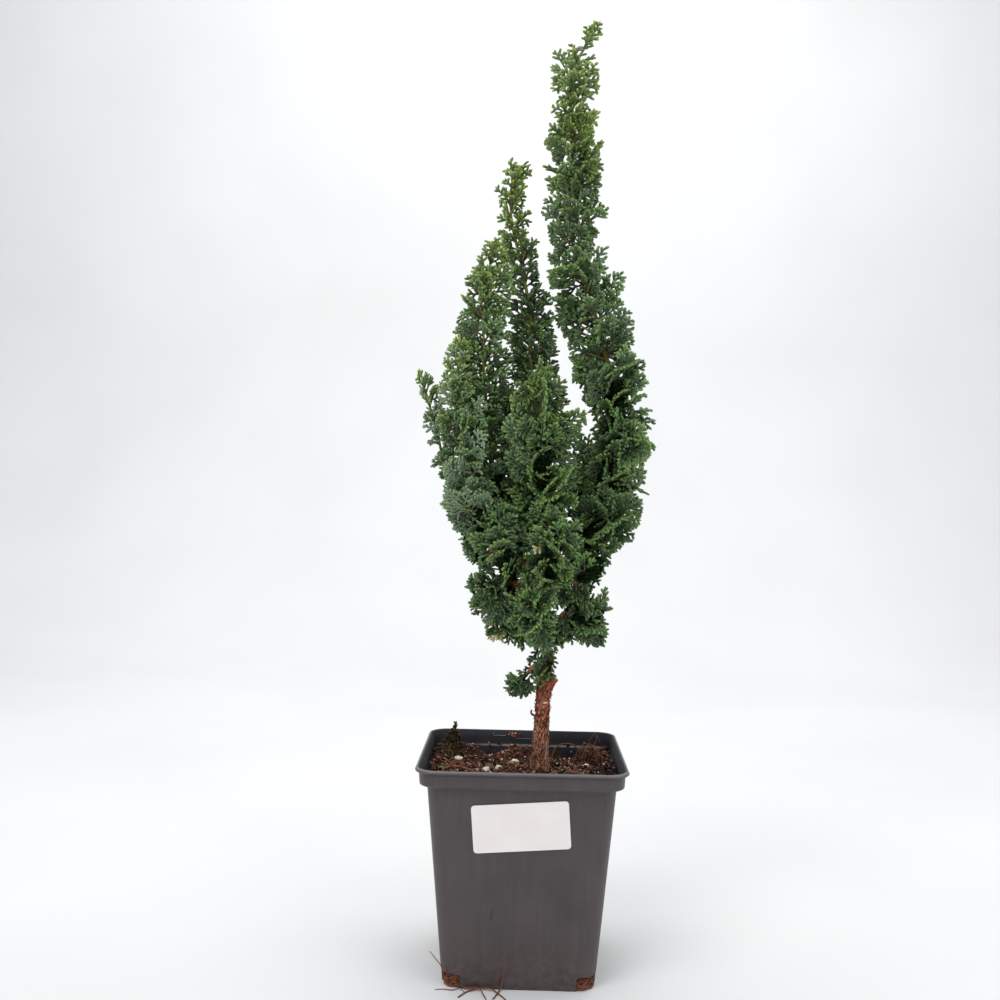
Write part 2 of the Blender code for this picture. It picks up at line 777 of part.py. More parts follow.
def fan_bmesh(fan, grow=0.0):
    """The spray's blade: its outline split in triangles, cupped and bent, then raised to its thickness."""
    length = fan["length"]
    forward, across, normal = fan["axes"]
    bm = bmesh.new()
    outline = fan_outline(length, fan["inner"], grow)
    flat = bm.faces.new([bm.verts.new((x, y, 0.0)) for x, y in outline])
    flat.normal_update()
    bmesh.ops.triangulate(bm, faces=[flat], quad_method="BEAUTY", ngon_method="BEAUTY")
    thickness = SPRAY_THICKNESS + 2 * grow
    for vert in bm.verts:
        x, y = vert.co.x, vert.co.y
        lift = fan["cup"] * y * y / length + fan["bend"] * x * x / length - thickness / 2
        vert.co = fan["root"] + forward * x + across * y + normal * lift
    copied = bmesh.ops.extrude_face_region(bm, geom=bm.faces[:], use_keep_orig=True)
    raised = [part for part in copied["geom"] if isinstance(part, bmesh.types.BMVert)]
    bmesh.ops.translate(bm, verts=raised, vec=normal * thickness)
    bmesh.ops.recalc_face_normals(bm, faces=bm.faces[:])
    bmesh.ops.triangulate(bm, faces=bm.faces[:])
    return bm


def tree_of(bm):
    tree = BVHTree.FromBMesh(bm)
    bm.free()
    return tree


def spray_places(leafy):
    """Places along the leafy part, spaced by the reach there: (point, tangent, reach, at its end)."""
    route = smooth_route(leafy, 1.0 * MM)
    tangents = directions(route)
    places = []
    wait = CORE_NECK
    for i in range(1, len(route)):
        step = (Vector(route[i][:3]) - Vector(route[i - 1][:3])).length
        wait -= step
        if wait <= 0:
            reach = route[i][3]
            places.append((Vector(route[i][:3]), tangents[i], reach, False))
            wait = SPRAY_SPACING + SPRAY_SPACING_SHARE * reach
    places.append((Vector(route[-1][:3]), tangents[-1], route[-1][3], True))
    return places


def draw_fan(place, index, seed, turn, shrink):
    """One spray at a place: out by the golden angle and up by its rise, rolled and cupped by draws."""
    point, tangent, reach, at_end = place
    draws = random.Random(SPRAY_SEED_STEP * seed + index)
    side, up = cross_axes([tangent])[0]
    angle = index * GOLDEN_ANGLE + draws.uniform(-SPRAY_TURN_DRAW, SPRAY_TURN_DRAW) + turn
    radial = side * math.cos(angle) + up * math.sin(angle)
    rise = SPRAY_RISE + draws.uniform(-SPRAY_RISE_DRAW, SPRAY_RISE_DRAW)
    if at_end:
        rise = END_SPRAY_RISE
    core = reach * CORE_SHARE
    inner = core * (1 - SPRAY_ROOT_SHARE) / math.cos(rise)
    outer = (reach - core) / max(math.cos(rise), LEAST_RISE_COSINE)
    length = inner + outer * draws.uniform(*SPRAY_LENGTH_DRAW) * shrink
    forward = (radial * math.cos(rise) + tangent * math.sin(rise)).normalized()
    flat = tangent.cross(radial).normalized()
    normal = forward.cross(flat)
    roll = draws.uniform(-SPRAY_ROLL_DRAW, SPRAY_ROLL_DRAW) + 0.5 * turn
    across = flat * math.cos(roll) + normal * math.sin(roll)
    jitter = Vector([draws.uniform(-ROOT_JITTER, ROOT_JITTER) for _ in range(3)])
    return {
        "root": point + radial * core * SPRAY_ROOT_SHARE + jitter,
        "length": length,
        "inner": inner,
        "axes": (forward, across, forward.cross(across)),
        "cup": draws.uniform(*SPRAY_CUP_DRAW),
        "bend": draws.uniform(*SPRAY_BEND_DRAW),
    }


def place_sprays(cores, trunk_tree):
    """For each stem the sprays that clear every other node, each the first try that crosses least."""
    taken = {name: [tree] for name, (tree, _) in cores.items()}
    taken["trunk"] = [trunk_tree]
    chosen = {name: [] for name in cores}
    for seed, (name, (_, leafy)) in enumerate(cores.items()):
        for index, place in enumerate(spray_places(leafy)):
            best = None
            for turn, shrink in SPRAY_TRIES:
                fan = draw_fan(place, index, seed, turn, shrink)
                wide = tree_of(fan_bmesh(fan, SPRAY_CLEARANCE))
                others = (t for other, trees in taken.items() if other != name for t in trees)
                if any(wide.overlap(other) for other in others):
                    continue
                tree = tree_of(fan_bmesh(fan))
                crossings = sum(len(tree.overlap(own)) for own in taken[name][1:])
                if best is None or crossings < best[0]:
                    best = (crossings, fan, tree)
                if crossings == 0:
                    break
            if best:
                chosen[name].append(best[1])
                taken[name].append(best[2])
    return chosen


def build_foliage(parts, helpers, trunk, surface):
    trunk_bm = bmesh.new()
    trunk_bm.from_mesh(trunk.data)
    cores = {}
    samples = stem_samples()
    for index, (name, stem) in enumerate(LEAFY_STEMS.items()):
        _, leafy = stem_stations(stem)
        bm = leafy_core(leafy, CORE_SEED + index, rivals_of(name, samples))
        tree = BVHTree.FromBMesh(bm)
        add_object(name, bm, parts, surface)
        cores[name] = (tree, leafy)
    chosen = place_sprays(cores, tree_of(trunk_bm))
    for name, fans in chosen.items():
        pieces = [add_object("spray", fan_bmesh(fan), helpers) for fan in fans]
        join_all(bpy.data.objects[name], pieces, helpers)
        keep_largest_shell(bpy.data.objects[name])


# Label and tuft


def build_label(parts, surface):
    outline = bpy.data.curves.new("label", "CURVE")
    outline.dimensions = "2D"
    outline.fill_mode = "BOTH"
    outline.extrude = LABEL_THICKNESS / 2
    points = []
    for quarter, signs in enumerate(((1, 1), (-1, 1), (-1, -1), (1, -1))):
        centre_x = signs[0] * (LABEL_WIDTH / 2 - LABEL_CORNER)
        centre_y = signs[1] * (LABEL_HEIGHT / 2 - LABEL_CORNER)
        for k in range(3):
            angle = (quarter + k / 2) * math.pi / 2
            x = centre_x + LABEL_CORNER * math.cos(angle)
            y = centre_y + LABEL_CORNER * math.sin(angle)
            points.append((x, y, 0.0, 1.0))
    spline = outline.splines.new("POLY")
    spline.points.add(len(points) - 1)
    for spot, point in zip(spline.points, points):
        spot.co = point
    spline.use_cyclic_u = True
    label = bpy.data.objects.new("label", outline)
    outline.materials.append(surface)
    parts.objects.link(label)
    lean = math.atan(POT_TAPER)
    out = wall_half(LABEL_CENTRE_Z) + GAP + LABEL_THICKNESS / 2
    label.location = (0.0, -out, LABEL_CENTRE_Z)
    label.rotation_mode = "XYZ"
    label.rotation_euler = (math.pi / 2 + lean, 0.0, 0.0)
    label.rotation_euler.rotate_axis("Z", LABEL_TURN)


def drop_onto(bm, ground):
    """Lowers a bmesh until only GAP is left above the ground."""
    ground_bm = bmesh.new()
    ground_bm.from_mesh(ground.data)
    ground_tree = BVHTree.FromBMesh(ground_bm)
    own_tree = BVHTree.FromBMesh(bm)
    down = Vector((0, 0, -1))
    room = [ground_tree.ray_cast(vert.co, down)[3] for vert in bm.verts]
    room += [own_tree.ray_cast(vert.co, -down)[3] for vert in ground_bm.verts]
    ground_bm.free()
    fall = down * (min(free for free in room if free) - GAP)
    bmesh.ops.translate(bm, vec=fall, verts=bm.verts[:])
    return fall


def build_tuft(parts, helpers, soil, surface):
    """A dry tuft: a low lump resting on the soil, with pointed blades standing out of it."""
    draws = random.Random(TUFT_SEED)
    foot = Vector((*TUFT_FOOT, TUFT_DROP_FROM))
    bm = bmesh.new()
    bmesh.ops.create_icosphere(bm, subdivisions=1, radius=1.0)
    bmesh.ops.scale(bm, vec=TUFT_LUMP_RADII, verts=bm.verts[:])
    bmesh.ops.translate(bm, vec=foot, verts=bm.verts[:])
    foot += drop_onto(bm, soil)
    tuft = add_object("dry_tuft", bm, parts, surface)
    pieces = []
    for k in range(TUFT_BLADES):
        angle = k * GOLDEN_ANGLE
        share = k / TUFT_BLADES
        lean = TUFT_LEAN[0] + TUFT_LEAN[1] * share
        height = TUFT_HEIGHT * (1 - (1 - TUFT_SHORTEST) * share) * draws.uniform(0.85, 1.0)
        flat = math.sin(lean)
        way = Vector((math.cos(angle) * flat, math.sin(angle) * flat, math.cos(lean)))
        spots = [foot, foot + way * height / 2, foot + way * height]
        stations = [(*spot, radius) for spot, radius in zip(spots, TUFT_BLADE_RADII)]
        blade = lumpy_tube(stations, TUFT_BLADE_SIDES, TUFT_BLADE_RELIEF, BLADE_SEED + k)
        pieces.append(add_object("blade", blade, helpers))
    join_all(tuft, pieces, helpers)
    keep_largest_shell(tuft)


def collection(name):
    made = bpy.data.collections.new(name)
    bpy.context.scene.collection.children.link(made)
    return made


def main():
    for obj in list(bpy.data.objects):
        bpy.data.objects.remove(obj)
    parts = collection("hinoki_cypress_bonsai")
    cutters = collection("cutters")
    helpers = collection("pieces_to_join")
    build_pot(parts, cutters, material("pot_plastic", (0.07, 0.068, 0.075), 0.45))
    soil = build_soil(parts, material("peat", (0.045, 0.022, 0.014), 0.95))
    trunk = build_trunk(parts, helpers, material("bark", (0.22, 0.09, 0.05), 0.85))
    build_foliage(parts, helpers, trunk, material("foliage", (0.045, 0.13, 0.045), 0.6))
    build_label(parts, material("label_paper", (0.86, 0.83, 0.84), 0.5))
    build_tuft(parts, helpers, soil, material("dry_moss", (0.13, 0.09, 0.04), 0.9))
    bpy.data.collections.remove(helpers)
    cutters.hide_render = True


main()
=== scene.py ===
"""The hinoki cypress bonsai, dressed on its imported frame.

Lengths are in metres and the tables of points in millimetres, scaled by MM. Every piece rides on the root body.
"""

import math
import random

import bmesh
import bpy
import numpy as np
from mathutils import Matrix, Vector, noise


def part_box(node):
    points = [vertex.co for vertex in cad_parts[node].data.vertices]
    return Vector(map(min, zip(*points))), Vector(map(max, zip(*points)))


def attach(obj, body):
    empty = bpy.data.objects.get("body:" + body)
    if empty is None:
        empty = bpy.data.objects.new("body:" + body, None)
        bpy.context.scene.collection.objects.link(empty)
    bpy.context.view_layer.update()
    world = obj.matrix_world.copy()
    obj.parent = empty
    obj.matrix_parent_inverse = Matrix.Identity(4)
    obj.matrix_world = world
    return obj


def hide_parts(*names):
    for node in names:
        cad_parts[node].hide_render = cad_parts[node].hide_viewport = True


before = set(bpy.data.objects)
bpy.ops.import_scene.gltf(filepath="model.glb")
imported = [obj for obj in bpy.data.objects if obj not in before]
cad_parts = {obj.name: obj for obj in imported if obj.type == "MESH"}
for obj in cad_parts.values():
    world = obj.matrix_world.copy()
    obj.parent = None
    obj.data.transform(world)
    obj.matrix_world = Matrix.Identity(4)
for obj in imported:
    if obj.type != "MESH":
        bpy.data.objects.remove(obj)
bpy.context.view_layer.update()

MM = 0.001

# The pot's, soil's and trunk's dimensions, as in the part's source
POT_HEIGHT = 115.6
POT_FOOT_HALF = 40.0
POT_TAPER = 0.085
POT_WALL = 1.3
POT_FLOOR = 2.0
COLLAR_BOTTOM = 106.2
COLLAR_HALF = 52.8
RIM_HALF = 55.0
BODY_CORNER = 9.0
RIM_CORNER = 10.5
SOIL_FRONT = 106.0
SOIL_BACK = 101.5
SOIL_EDGE = 100.5
GAP = 0.3
TRUNK = (
    (9.5, 5, 58.3, 3.2),
    (9.7, 5, 80, 4.0),
    (9.8, 5, 98, 5.2),
    (9.9, 5, 104, 5.3),
    (10.0, 4.8, 110, 4.6),
    (10.2, 4.5, 120, 4.3),
    (10.6, 4, 132, 4.1),
    (11.1, 3.5, 143, 4.0),
    (11.8, 3, 152, 4.2),
    (12.2, 3, 158, 3.4),
    (12.3, 3, 166, 2.7),
    (12.2, 3, 178, 2.6),
    (11.6, 2.5, 190, 2.8),
    (11.8, 2, 200, 3.0),
    (12.2, 1, 208, 2.6),
)
CUT_STUB = ((12.2, 3, 148.5, 3.0), (15.0, 2.6, 152.5, 2.9), (17.2, 2.2, 155.6, 2.5))
HOOKED_TWIG = (
    (10.0, 3.6, 133.6, 0.9),
    (6.2, 3.2, 134.2, 0.7),
    (4.6, 3.0, 135.4, 0.6),
    (4.9, 2.9, 137.2, 0.5),
)

# Leafy stems: branch points (x, y, z), then leafy points (x, y, z, reach), as in the part's source
LEAFY_STEMS = {
    "right_leader": (
        ((12, 1, 203), (17, 0, 210)),
        (
            (21, 0, 215, 8), (30, -1, 228, 15), (38, -1, 243, 18), (43, -2, 260, 20),
            (46, -2, 276, 21), (48, -2, 293, 19), (48, -2, 308, 19), (45, -2, 323, 20),
            (40, -1, 340, 18), (36, -1, 355, 21), (30, 0, 371, 21), (25, 1, 386, 16),
            (23, 2, 398, 14), (24, 3, 412, 16), (22, 4, 427, 18), (22, 5, 445, 16),
            (20, 5, 461, 14), (21, 6, 475, 13), (22, 6, 488, 11), (24, 6, 500, 8),
            (30, 6, 510, 6),
        ),
    ),
    "middle_leader": (
        ((12, 3, 203), (8, 7, 218)),
        (
            (6, 9, 234, 5), (4, 10, 250, 11), (4, 11, 271, 13), (4, 12, 293, 14),
            (3, 13, 313, 15), (1, 14, 329, 15), (0, 14, 344, 14), (0, 14, 360, 15),
            (-3, 14, 375, 13), (-6, 14, 389, 12), (-10, 13, 403, 12), (-12, 13, 416, 11),
            (-12, 12, 428, 9), (-8, 12, 437, 6),
        ),
    ),
    "left_inner_leader": (
        ((-2, 1, 202), (-8, 1, 214)),
        (
            (-12, 0, 228, 7), (-16, -1, 245, 13), (-18, -2, 264, 14), (-21, -3, 286, 14),
            (-23, -4, 303, 13), (-25, -5, 319, 12), (-25, -5, 335, 12), (-26, -5, 349, 13),
            (-27, -5, 363, 13), (-25, -5, 374, 11), (-21, -4, 388, 7),
        ),
    ),
    "left_front_stem": (
        ((-2, 1, 202), (-11, -5, 213)),
        (
            (-20, -9, 229, 7), (-26, -12, 246, 14), (-31, -13, 264, 14), (-35, -14, 280, 14),
            (-37, -14, 296, 13), (-39, -13, 310, 11), (-39, -13, 322, 11), (-38, -12, 334, 7),
        ),
    ),
    "left_outer_stem": (
        ((12, 2, 192), (0, 1, 200), (-11, 0, 206)),
        (
            (-19, 0, 213, 8), (-27, 0, 227, 14), (-35, 0, 242, 15), (-42, 0, 258, 15),
            (-46, 0, 272, 14), (-50, 1, 288, 11), (-54, 2, 302, 9), (-58, 2, 315, 7),
        ),
    ),
    "centre_front_stem": (
        ((12, 1, 203), (10, -4, 213)),
        (
            (9, -8, 225, 6), (8, -12, 239, 14), (7, -15, 255, 17), (7, -17, 273, 18),
            (7, -18, 289, 18), (6, -18, 302, 17), (6, -18, 311, 11),
        ),
    ),
    "back_stem": (
        ((12, 3, 198), (6, 9, 208)),
        (
            (0, 15, 217, 6), (-6, 22, 231, 14), (-9, 26, 250, 16), (-11, 28, 270, 16),
            (-12, 28, 290, 15), (-12, 27, 308, 11),
        ),
    ),
    "back_right_stem": (
        ((12, 3, 198), (19, 9, 207)),
        (
            (24, 14, 215, 6), (30, 20, 228, 13), (33, 24, 245, 15), (34, 26, 263, 14),
            (34, 26, 279, 10),
        ),
    ),
    "low_left_spray": (
        ((12, 2, 188), (4, -1, 194)),
        ((-3, -3, 198, 8), (-11, -5, 203, 12), (-20, -6, 206, 12), (-27, -6, 208, 9)),
    ),
    "low_left_back_spray": (
        ((12, 3, 176), (5, 5, 181)),
        ((-1, 7, 185, 7), (-8, 9, 190, 12), (-17, 10, 192, 12), (-25, 10, 194, 9)),
    ),
    "low_right_spray": (
        ((12, 2, 176), (18, -1, 180)),
        ((23, -4, 184, 9), (30, -7, 188, 15), (38, -8, 191, 14), (43, -8, 194, 9)),
    ),
    "low_right_back_spray": (
        ((12, 3, 182), (18, 8, 187)),
        ((23, 13, 190, 9), (29, 19, 195, 15), (34, 24, 200, 14), (38, 26, 204, 9)),
    ),
    "low_front_spray": (
        ((12, 1, 182), (10, -4, 184)),
        ((8, -9, 186, 9), (6, -17, 190, 16), (4, -26, 196, 15), (3, -32, 200, 9)),
    ),
    "low_back_spray": (
        ((12, 3, 188), (9, 9, 192)),
        ((6, 15, 196, 9), (3, 24, 201, 15), (1, 32, 207, 13), (0, 36, 211, 9)),
    ),
    "fork_front_spray": (
        ((12, 1, 196), (11, -5, 203)),
        ((11, -10, 208, 9), (13, -19, 217, 17), (14, -25, 229, 16), (14, -27, 239, 10)),
    ),
    "fork_right_spray": (
        ((17, 0, 208), (23, -5, 209)),
        ((28, -9, 210, 9), (34, -14, 214, 15), (39, -15, 220, 14), (43, -14, 225, 8)),
    ),
    "fork_left_spray": (
        ((0, 1, 200), (-3, -6, 205)),
        ((-5, -12, 209, 8), (-10, -18, 217, 16), (-13, -22, 229, 15), (-14, -23, 239, 10)),
    ),
    "trunk_right_spray": (
        ((12, 3, 171), (14, -1, 170)),
        ((15, -4, 168, 3), (14, -5, 163, 6), (13.5, -5, 159, 5)),
    ),
    "trunk_left_spray": (
        ((12, 3, 163), (7, 2, 162)),
        ((3, 1, 158.5, 3), (-2, 0, 154.5, 6), (-6, 0, 150.5, 5)),
    ),
}

# How blue-green a stem's sprays look, where not the usual
GLAUCOUS = {"left_outer_stem": 1.0, "left_front_stem": 0.65, "left_inner_leader": 0.25, "right_leader": 0.22}
USUAL_GLAUCOUS = 0.15

# How fine a stem's fronds are, against the usual size of their shoots
FINENESS = {"trunk_left_spray": 0.78, "trunk_right_spray": 0.78, "right_leader": 0.88, "left_outer_stem": 0.80, "left_front_stem": 0.82, "left_inner_leader": 0.84}
USUAL_FINENESS = 0.86

# Height over which a stem's sprays turn from dark to fresh yellow-green, in mm
FRESH = {
    "right_leader": (405, 476),
    "middle_leader": (376, 422),
    "left_inner_leader": (345, 390),
    "left_front_stem": (300, 324),
    "left_outer_stem": (298, 315),
    "centre_front_stem": (285, 400),
}

# Where the sprays of a stem end to its left and right: (height, left x, right x) rows in mm, from the top down
EDGES = {
    "right_leader": (
        (520, 30, 39), (514, 27, 38), (510, 25, 34), (506, 20, 30), (502, 17, 29), (498, 14, 34), (493, 9, 35),
        (486, 7, 34),
        (480, 8, 35), (471, 9, 36), (463, 6, 36), (455, 5, 39), (446, 6, 38), (438, 4, 41), (429, 5, 41),
        (421, 3, 43), (412, 6, 42), (404, 9, 35), (395, 10, 33), (387, 8, 35), (379, 8, 45), (370, 9, 52),
        (362, 12, 57), (345, 14, 60), (337, 18, 58), (329, 22, 64), (320, 28, 66), (312, 31, 69),
        (304, 33, 71), (296, 35, 71), (288, 33, 70), (271, 26, 69), (263, 26, 68), (254, 21, 66),
        (246, 18, 64), (240, 16, 58), (235, 16, 50), (229, 16, 43), (221, 16, 37),
    ),
    "middle_leader": (
        (446, -7, 0), (440, -19, -2), (431, -21, -3), (423, -25, -1), (414, -21, 1), (406, -21, 3),
        (398, -17, 5), (389, -15, 4), (381, -15, 6), (372, -14, 11), (364, -13, 14), (347, -14, 15),
        (330, -14, 17), (321, -14, 21), (310, -13, 24), (293, -13, 25),
    ),
    "left_inner_leader": (
        (403, -20, -15), (396, -21, -13), (390, -22, -12), (382, -26, -11), (376, -30, -11),
        (368, -37, -11), (362, -41, -11), (352, -40, -10), (335, -41, -11), (308, -43, -11), (286, -43, -11),
    ),
    "left_front_stem": (
        (345, -41, -34), (339, -44, -31), (331, -48, -29), (324, -47, -27), (318, -50, -24),
        (307, -51, -23), (291, -50, -21), (275, -48, -18), (258, -44, -15),
    ),
    "left_outer_stem": (
        (320, -60, -55), (315, -60, -52), (308, -57, -48), (300, -56, -46), (291, -54, -42),
        (283, -51, -39), (267, -49, -32), (258, -46, -27), (250, -42, -23), (242, -39, -19),
        (234, -37, -15), (225, -35, -11), (217, -30, -9),
    ),
    "centre_front_stem": (
        (321, -5, 14), (316, -11, 20), (309, -13, 30), (302, -14, 32), (291, -14, 32), (264, -12, 29),
    ),
    "low_right_spray": (
        (206, 20, 33), (199, 10, 36), (195, 10, 40), (190, 8, 44), (185, 8, 45), (176, 8, 44), (171, 8, 40), (165, 8, 34),
    ),
    "trunk_right_spray": ((180, 5, 18), (167, 5, 18), (160, 5, 13.5), (150, 5, 12.5)),
    "trunk_left_spray": ((175, -7, 6), (166, -9, 6), (158, -10.5, 6), (148, -10.5, 6)),
}
CROWN_EDGES = (
    (320, -60, 65), (308, -58, 68), (296, -56, 70), (283, -52, 69), (271, -51, 70), (258, -47, 67),
    (246, -40, 62), (240, -39, 57), (235, -37, 49), (229, -35, 43), (221, -30, 37), (217, -27, 36), (212, -30, 35),
    (206, -34, 34), (199, -33, 36), (193, -31, 42), (187, -27, 43), (181, -20, 43), (175, -18, 43), (165, -8, 38),
)

# Heights between which a stem shows bare, with its sprays only at its sides, and the length of their stalks, in mm
WINDOWS = {"right_leader": (341, 364, 3.6), "middle_leader": (326, 360, 2.0)}

# Height below which the sprays on a stem's outer side lie level, in mm
LEVEL_BELOW = {"right_leader": 332}

# How many extra branchlets hang from a low stem's foot, and between what heights their tips end, in mm
HANGING = {
    "low_front_spray": (12, 168, 180),
    "low_right_spray": (15, 172, 182),
    "low_left_back_spray": (14, 170, 181),
    "low_right_back_spray": (10, 173, 184),
    "low_left_spray": (8, 178, 190),
}

# Single sprigs on the trunk and low down: root, direction, length in mm, and how dead the sprig is if at all
SPRIGS = {
    "trunk_right_spray": (
        ((8, -1, 172), (-0.5, -0.4, -0.75), 7), ((11, -2, 173), (0.0, -0.45, -0.9), 8),
        ((14, -1, 172), (0.4, -0.3, -0.8), 7), ((9, -2, 167), (-0.3, -0.3, -0.9), 7),
        ((12, -2, 168), (0.2, -0.35, -0.9), 8), ((13, -2, 164), (0.1, -0.4, -0.9), 8),
        ((7, 0, 169), (-0.7, -0.2, -0.6), 5), ((10, -2, 163.5), (0.0, -0.3, -0.95), 7),
        ((14, 0, 176), (0.6, -0.3, -0.6), 6), ((9, -1, 176), (-0.6, -0.4, -0.6), 6),
        ((12, -2, 177), (0.2, -0.5, -0.8), 8), ((13, -3, 171), (0.5, -0.5, -0.6), 6),
        ((10, -3, 170), (-0.2, -0.6, -0.7), 7), ((12, -3, 161), (0.2, -0.5, -0.85), 7),
        ((8, -1, 165), (-0.5, -0.3, -0.8), 5), ((15, -3, 167), (0.3, -0.3, -0.9), 6),
    ),
    "trunk_left_spray": (
        ((4, 1, 156), (-0.75, -0.1, -0.6), 9), ((3, 0, 155.5), (-0.45, -0.25, -0.87), 11),
        ((1, 0, 154.5), (-0.2, -0.3, -0.93), 11), ((-1, 0, 153.5), (-0.5, -0.1, -0.85), 10),
        ((-3, 0, 152.5), (-0.3, 0.15, -0.95), 9), ((-4, 0, 151.5), (-0.6, -0.2, -0.7), 6),
        ((3, 0.5, 155.5), (0.1, -0.35, -0.93), 9), ((0, 0, 154.5), (-0.4, 0.4, -0.8), 10),
        ((5, 1.5, 160), (0.0, -0.4, -0.8), 6), ((5, 2, 166), (-0.6, -0.3, -0.6), 5),
        ((4, 2, 161), (-0.7, -0.3, -0.3), 5), ((-2, -1, 153.5), (-0.2, -0.5, -0.85), 9),
        ((6, 1, 167), (-0.6, -0.4, -0.5), 5), ((2, -1, 157.5), (-0.7, -0.4, -0.4), 7),
    ),
    "low_left_back_spray": (
        ((-9, 7, 182), (-0.80, -0.2, -0.50), 12, 1.0), ((-7, 8, 184), (-0.1, -0.1, -0.97), 12, 0.0),
        ((-13, 8, 186), (-0.5, -0.1, -0.85), 13, 0.0), ((-16, 8, 187), (-0.3, -0.3, -0.90), 11, 0.0),
        ((-11, 8, 185), (-0.3, -0.2, -0.9), 10, 0.15), ((-3, 7, 182), (0.2, -0.1, -0.97), 10, 0.0),
    ),
    "fork_right_spray": (
        ((24, -6, 208), (-0.3, -0.3, -0.9), 13), ((25, -7, 208), (0.3, -0.4, -0.85), 12),
        ((22, -5, 207), (-0.6, -0.5, -0.6), 10), ((20, -3, 206), (-0.2, -0.3, -0.95), 13),
        ((21, -5, 206), (0.1, -0.6, -0.8), 12), ((27, -8, 209), (0.0, -0.5, -0.86), 13),
    ),
    "low_right_spray": (
        ((16, -4, 184), (0.3, -0.5, -0.8), 10), ((20, -5, 186), (0.2, -0.5, -0.85), 11),
        ((24, -7, 187), (0.2, -0.4, -0.9), 12), ((14, -5, 189), (0.0, -0.5, -0.85), 13),
        ((36, -8, 188), (0.4, -0.3, -0.88), 15), ((39, -7, 188), (0.15, -0.2, -0.95), 14),
        ((34, -4, 187), (0.25, 0.1, -0.95), 15), ((40, -9, 190), (0.5, -0.3, -0.75), 7),
        ((18, -6, 191), (0.2, -0.5, -0.8), 14), ((27, -9, 190), (0.4, -0.4, -0.8), 12),
        ((22, -8, 193), (-0.1, -0.5, -0.85), 14), ((31, -8, 188), (0.2, -0.3, -0.93), 14),
    ),
}

# How much longer than usual the fronds at a stem's top are
TOP_FRONDS = {"right_leader": 1.75, "left_outer_stem": 1.2, "middle_leader": 1.2, "trunk_left_spray": 0.4,
              "trunk_right_spray": 0.6, "low_right_back_spray": 0.5, "fork_right_spray": 0.5,
              "low_right_spray": 0.45}

# Height up to which a stem has a dark core of painted shade behind its sprays, in mm
CORE_TOP = {
    "right_leader": 325,
    "middle_leader": 305,
    "left_inner_leader": 275,
    "left_front_stem": 258,
    "left_outer_stem": 250,
    "centre_front_stem": 296,
    "back_stem": 262,
}
CORE_SHARE = 0.27

GOLDEN_ANGLE = math.radians(137.5)
RING_AT = np.array([0.0, 0.58, 0.93])
RING_WIDTH = np.array([0.72, 1.06, 0.84])
SHOOT_SIDES = 5
TWIG_SIDES = 4
SPACING = (0.76, 0.060)
TOP_SPACING = {"right_leader": 0.8}

# Sprays stand in tiers that wind round a stem: their height, the share left open, and the least reach for it
TIER = 10.5
TIER_GAP = 0.12
TIER_REACH = 9.0
STEM_WIDTH = {"right_leader": 1.35, "middle_leader": 1.15}
WIDER_SPACING = {"right_leader": 1.1}
SCALE_LENGTH = 1.2


def link(obj):
    bpy.context.scene.collection.objects.link(obj)
    return obj


def piece(name, mesh, *materials):
    """A shown piece of the object, riding on the root body."""
    for surface in materials:
        mesh.materials.append(surface)
    obj = link(bpy.data.objects.new(name, mesh))
    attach(obj, "root")
    return obj


def mesh_from(name, points, faces, smooth=True):
    """A mesh from an array of points and a list of arrays of faces, each (count, corners)."""
    mesh = bpy.data.meshes.new(name)
    points = np.asarray(points, dtype=np.float32).reshape(-1, 3)
    faces = [np.asarray(group, dtype=np.int32) for group in faces if len(group)]
    mesh.vertices.add(len(points))
    mesh.vertices.foreach_set("co", points.ravel())
    corners = np.concatenate([group.ravel() for group in faces])
    sizes = np.concatenate([np.full(len(group), group.shape[1]) for group in faces])
    mesh.loops.add(len(corners))
    mesh.loops.foreach_set("vertex_index", corners)
    mesh.polygons.add(len(sizes))
    starts = np.concatenate([[0], np.cumsum(sizes)[:-1]]).astype(np.int32)
    mesh.polygons.foreach_set("loop_start", starts)
    mesh.update(calc_edges=True)
    mesh.validate()
    if smooth:
        mesh.shade_smooth()
    return mesh


def set_colour(mesh, name, values):
    layer = mesh.color_attributes.new(name, "FLOAT_COLOR", "POINT")
    layer.data.foreach_set("color", np.asarray(values, dtype=np.float32).ravel())


# Materials


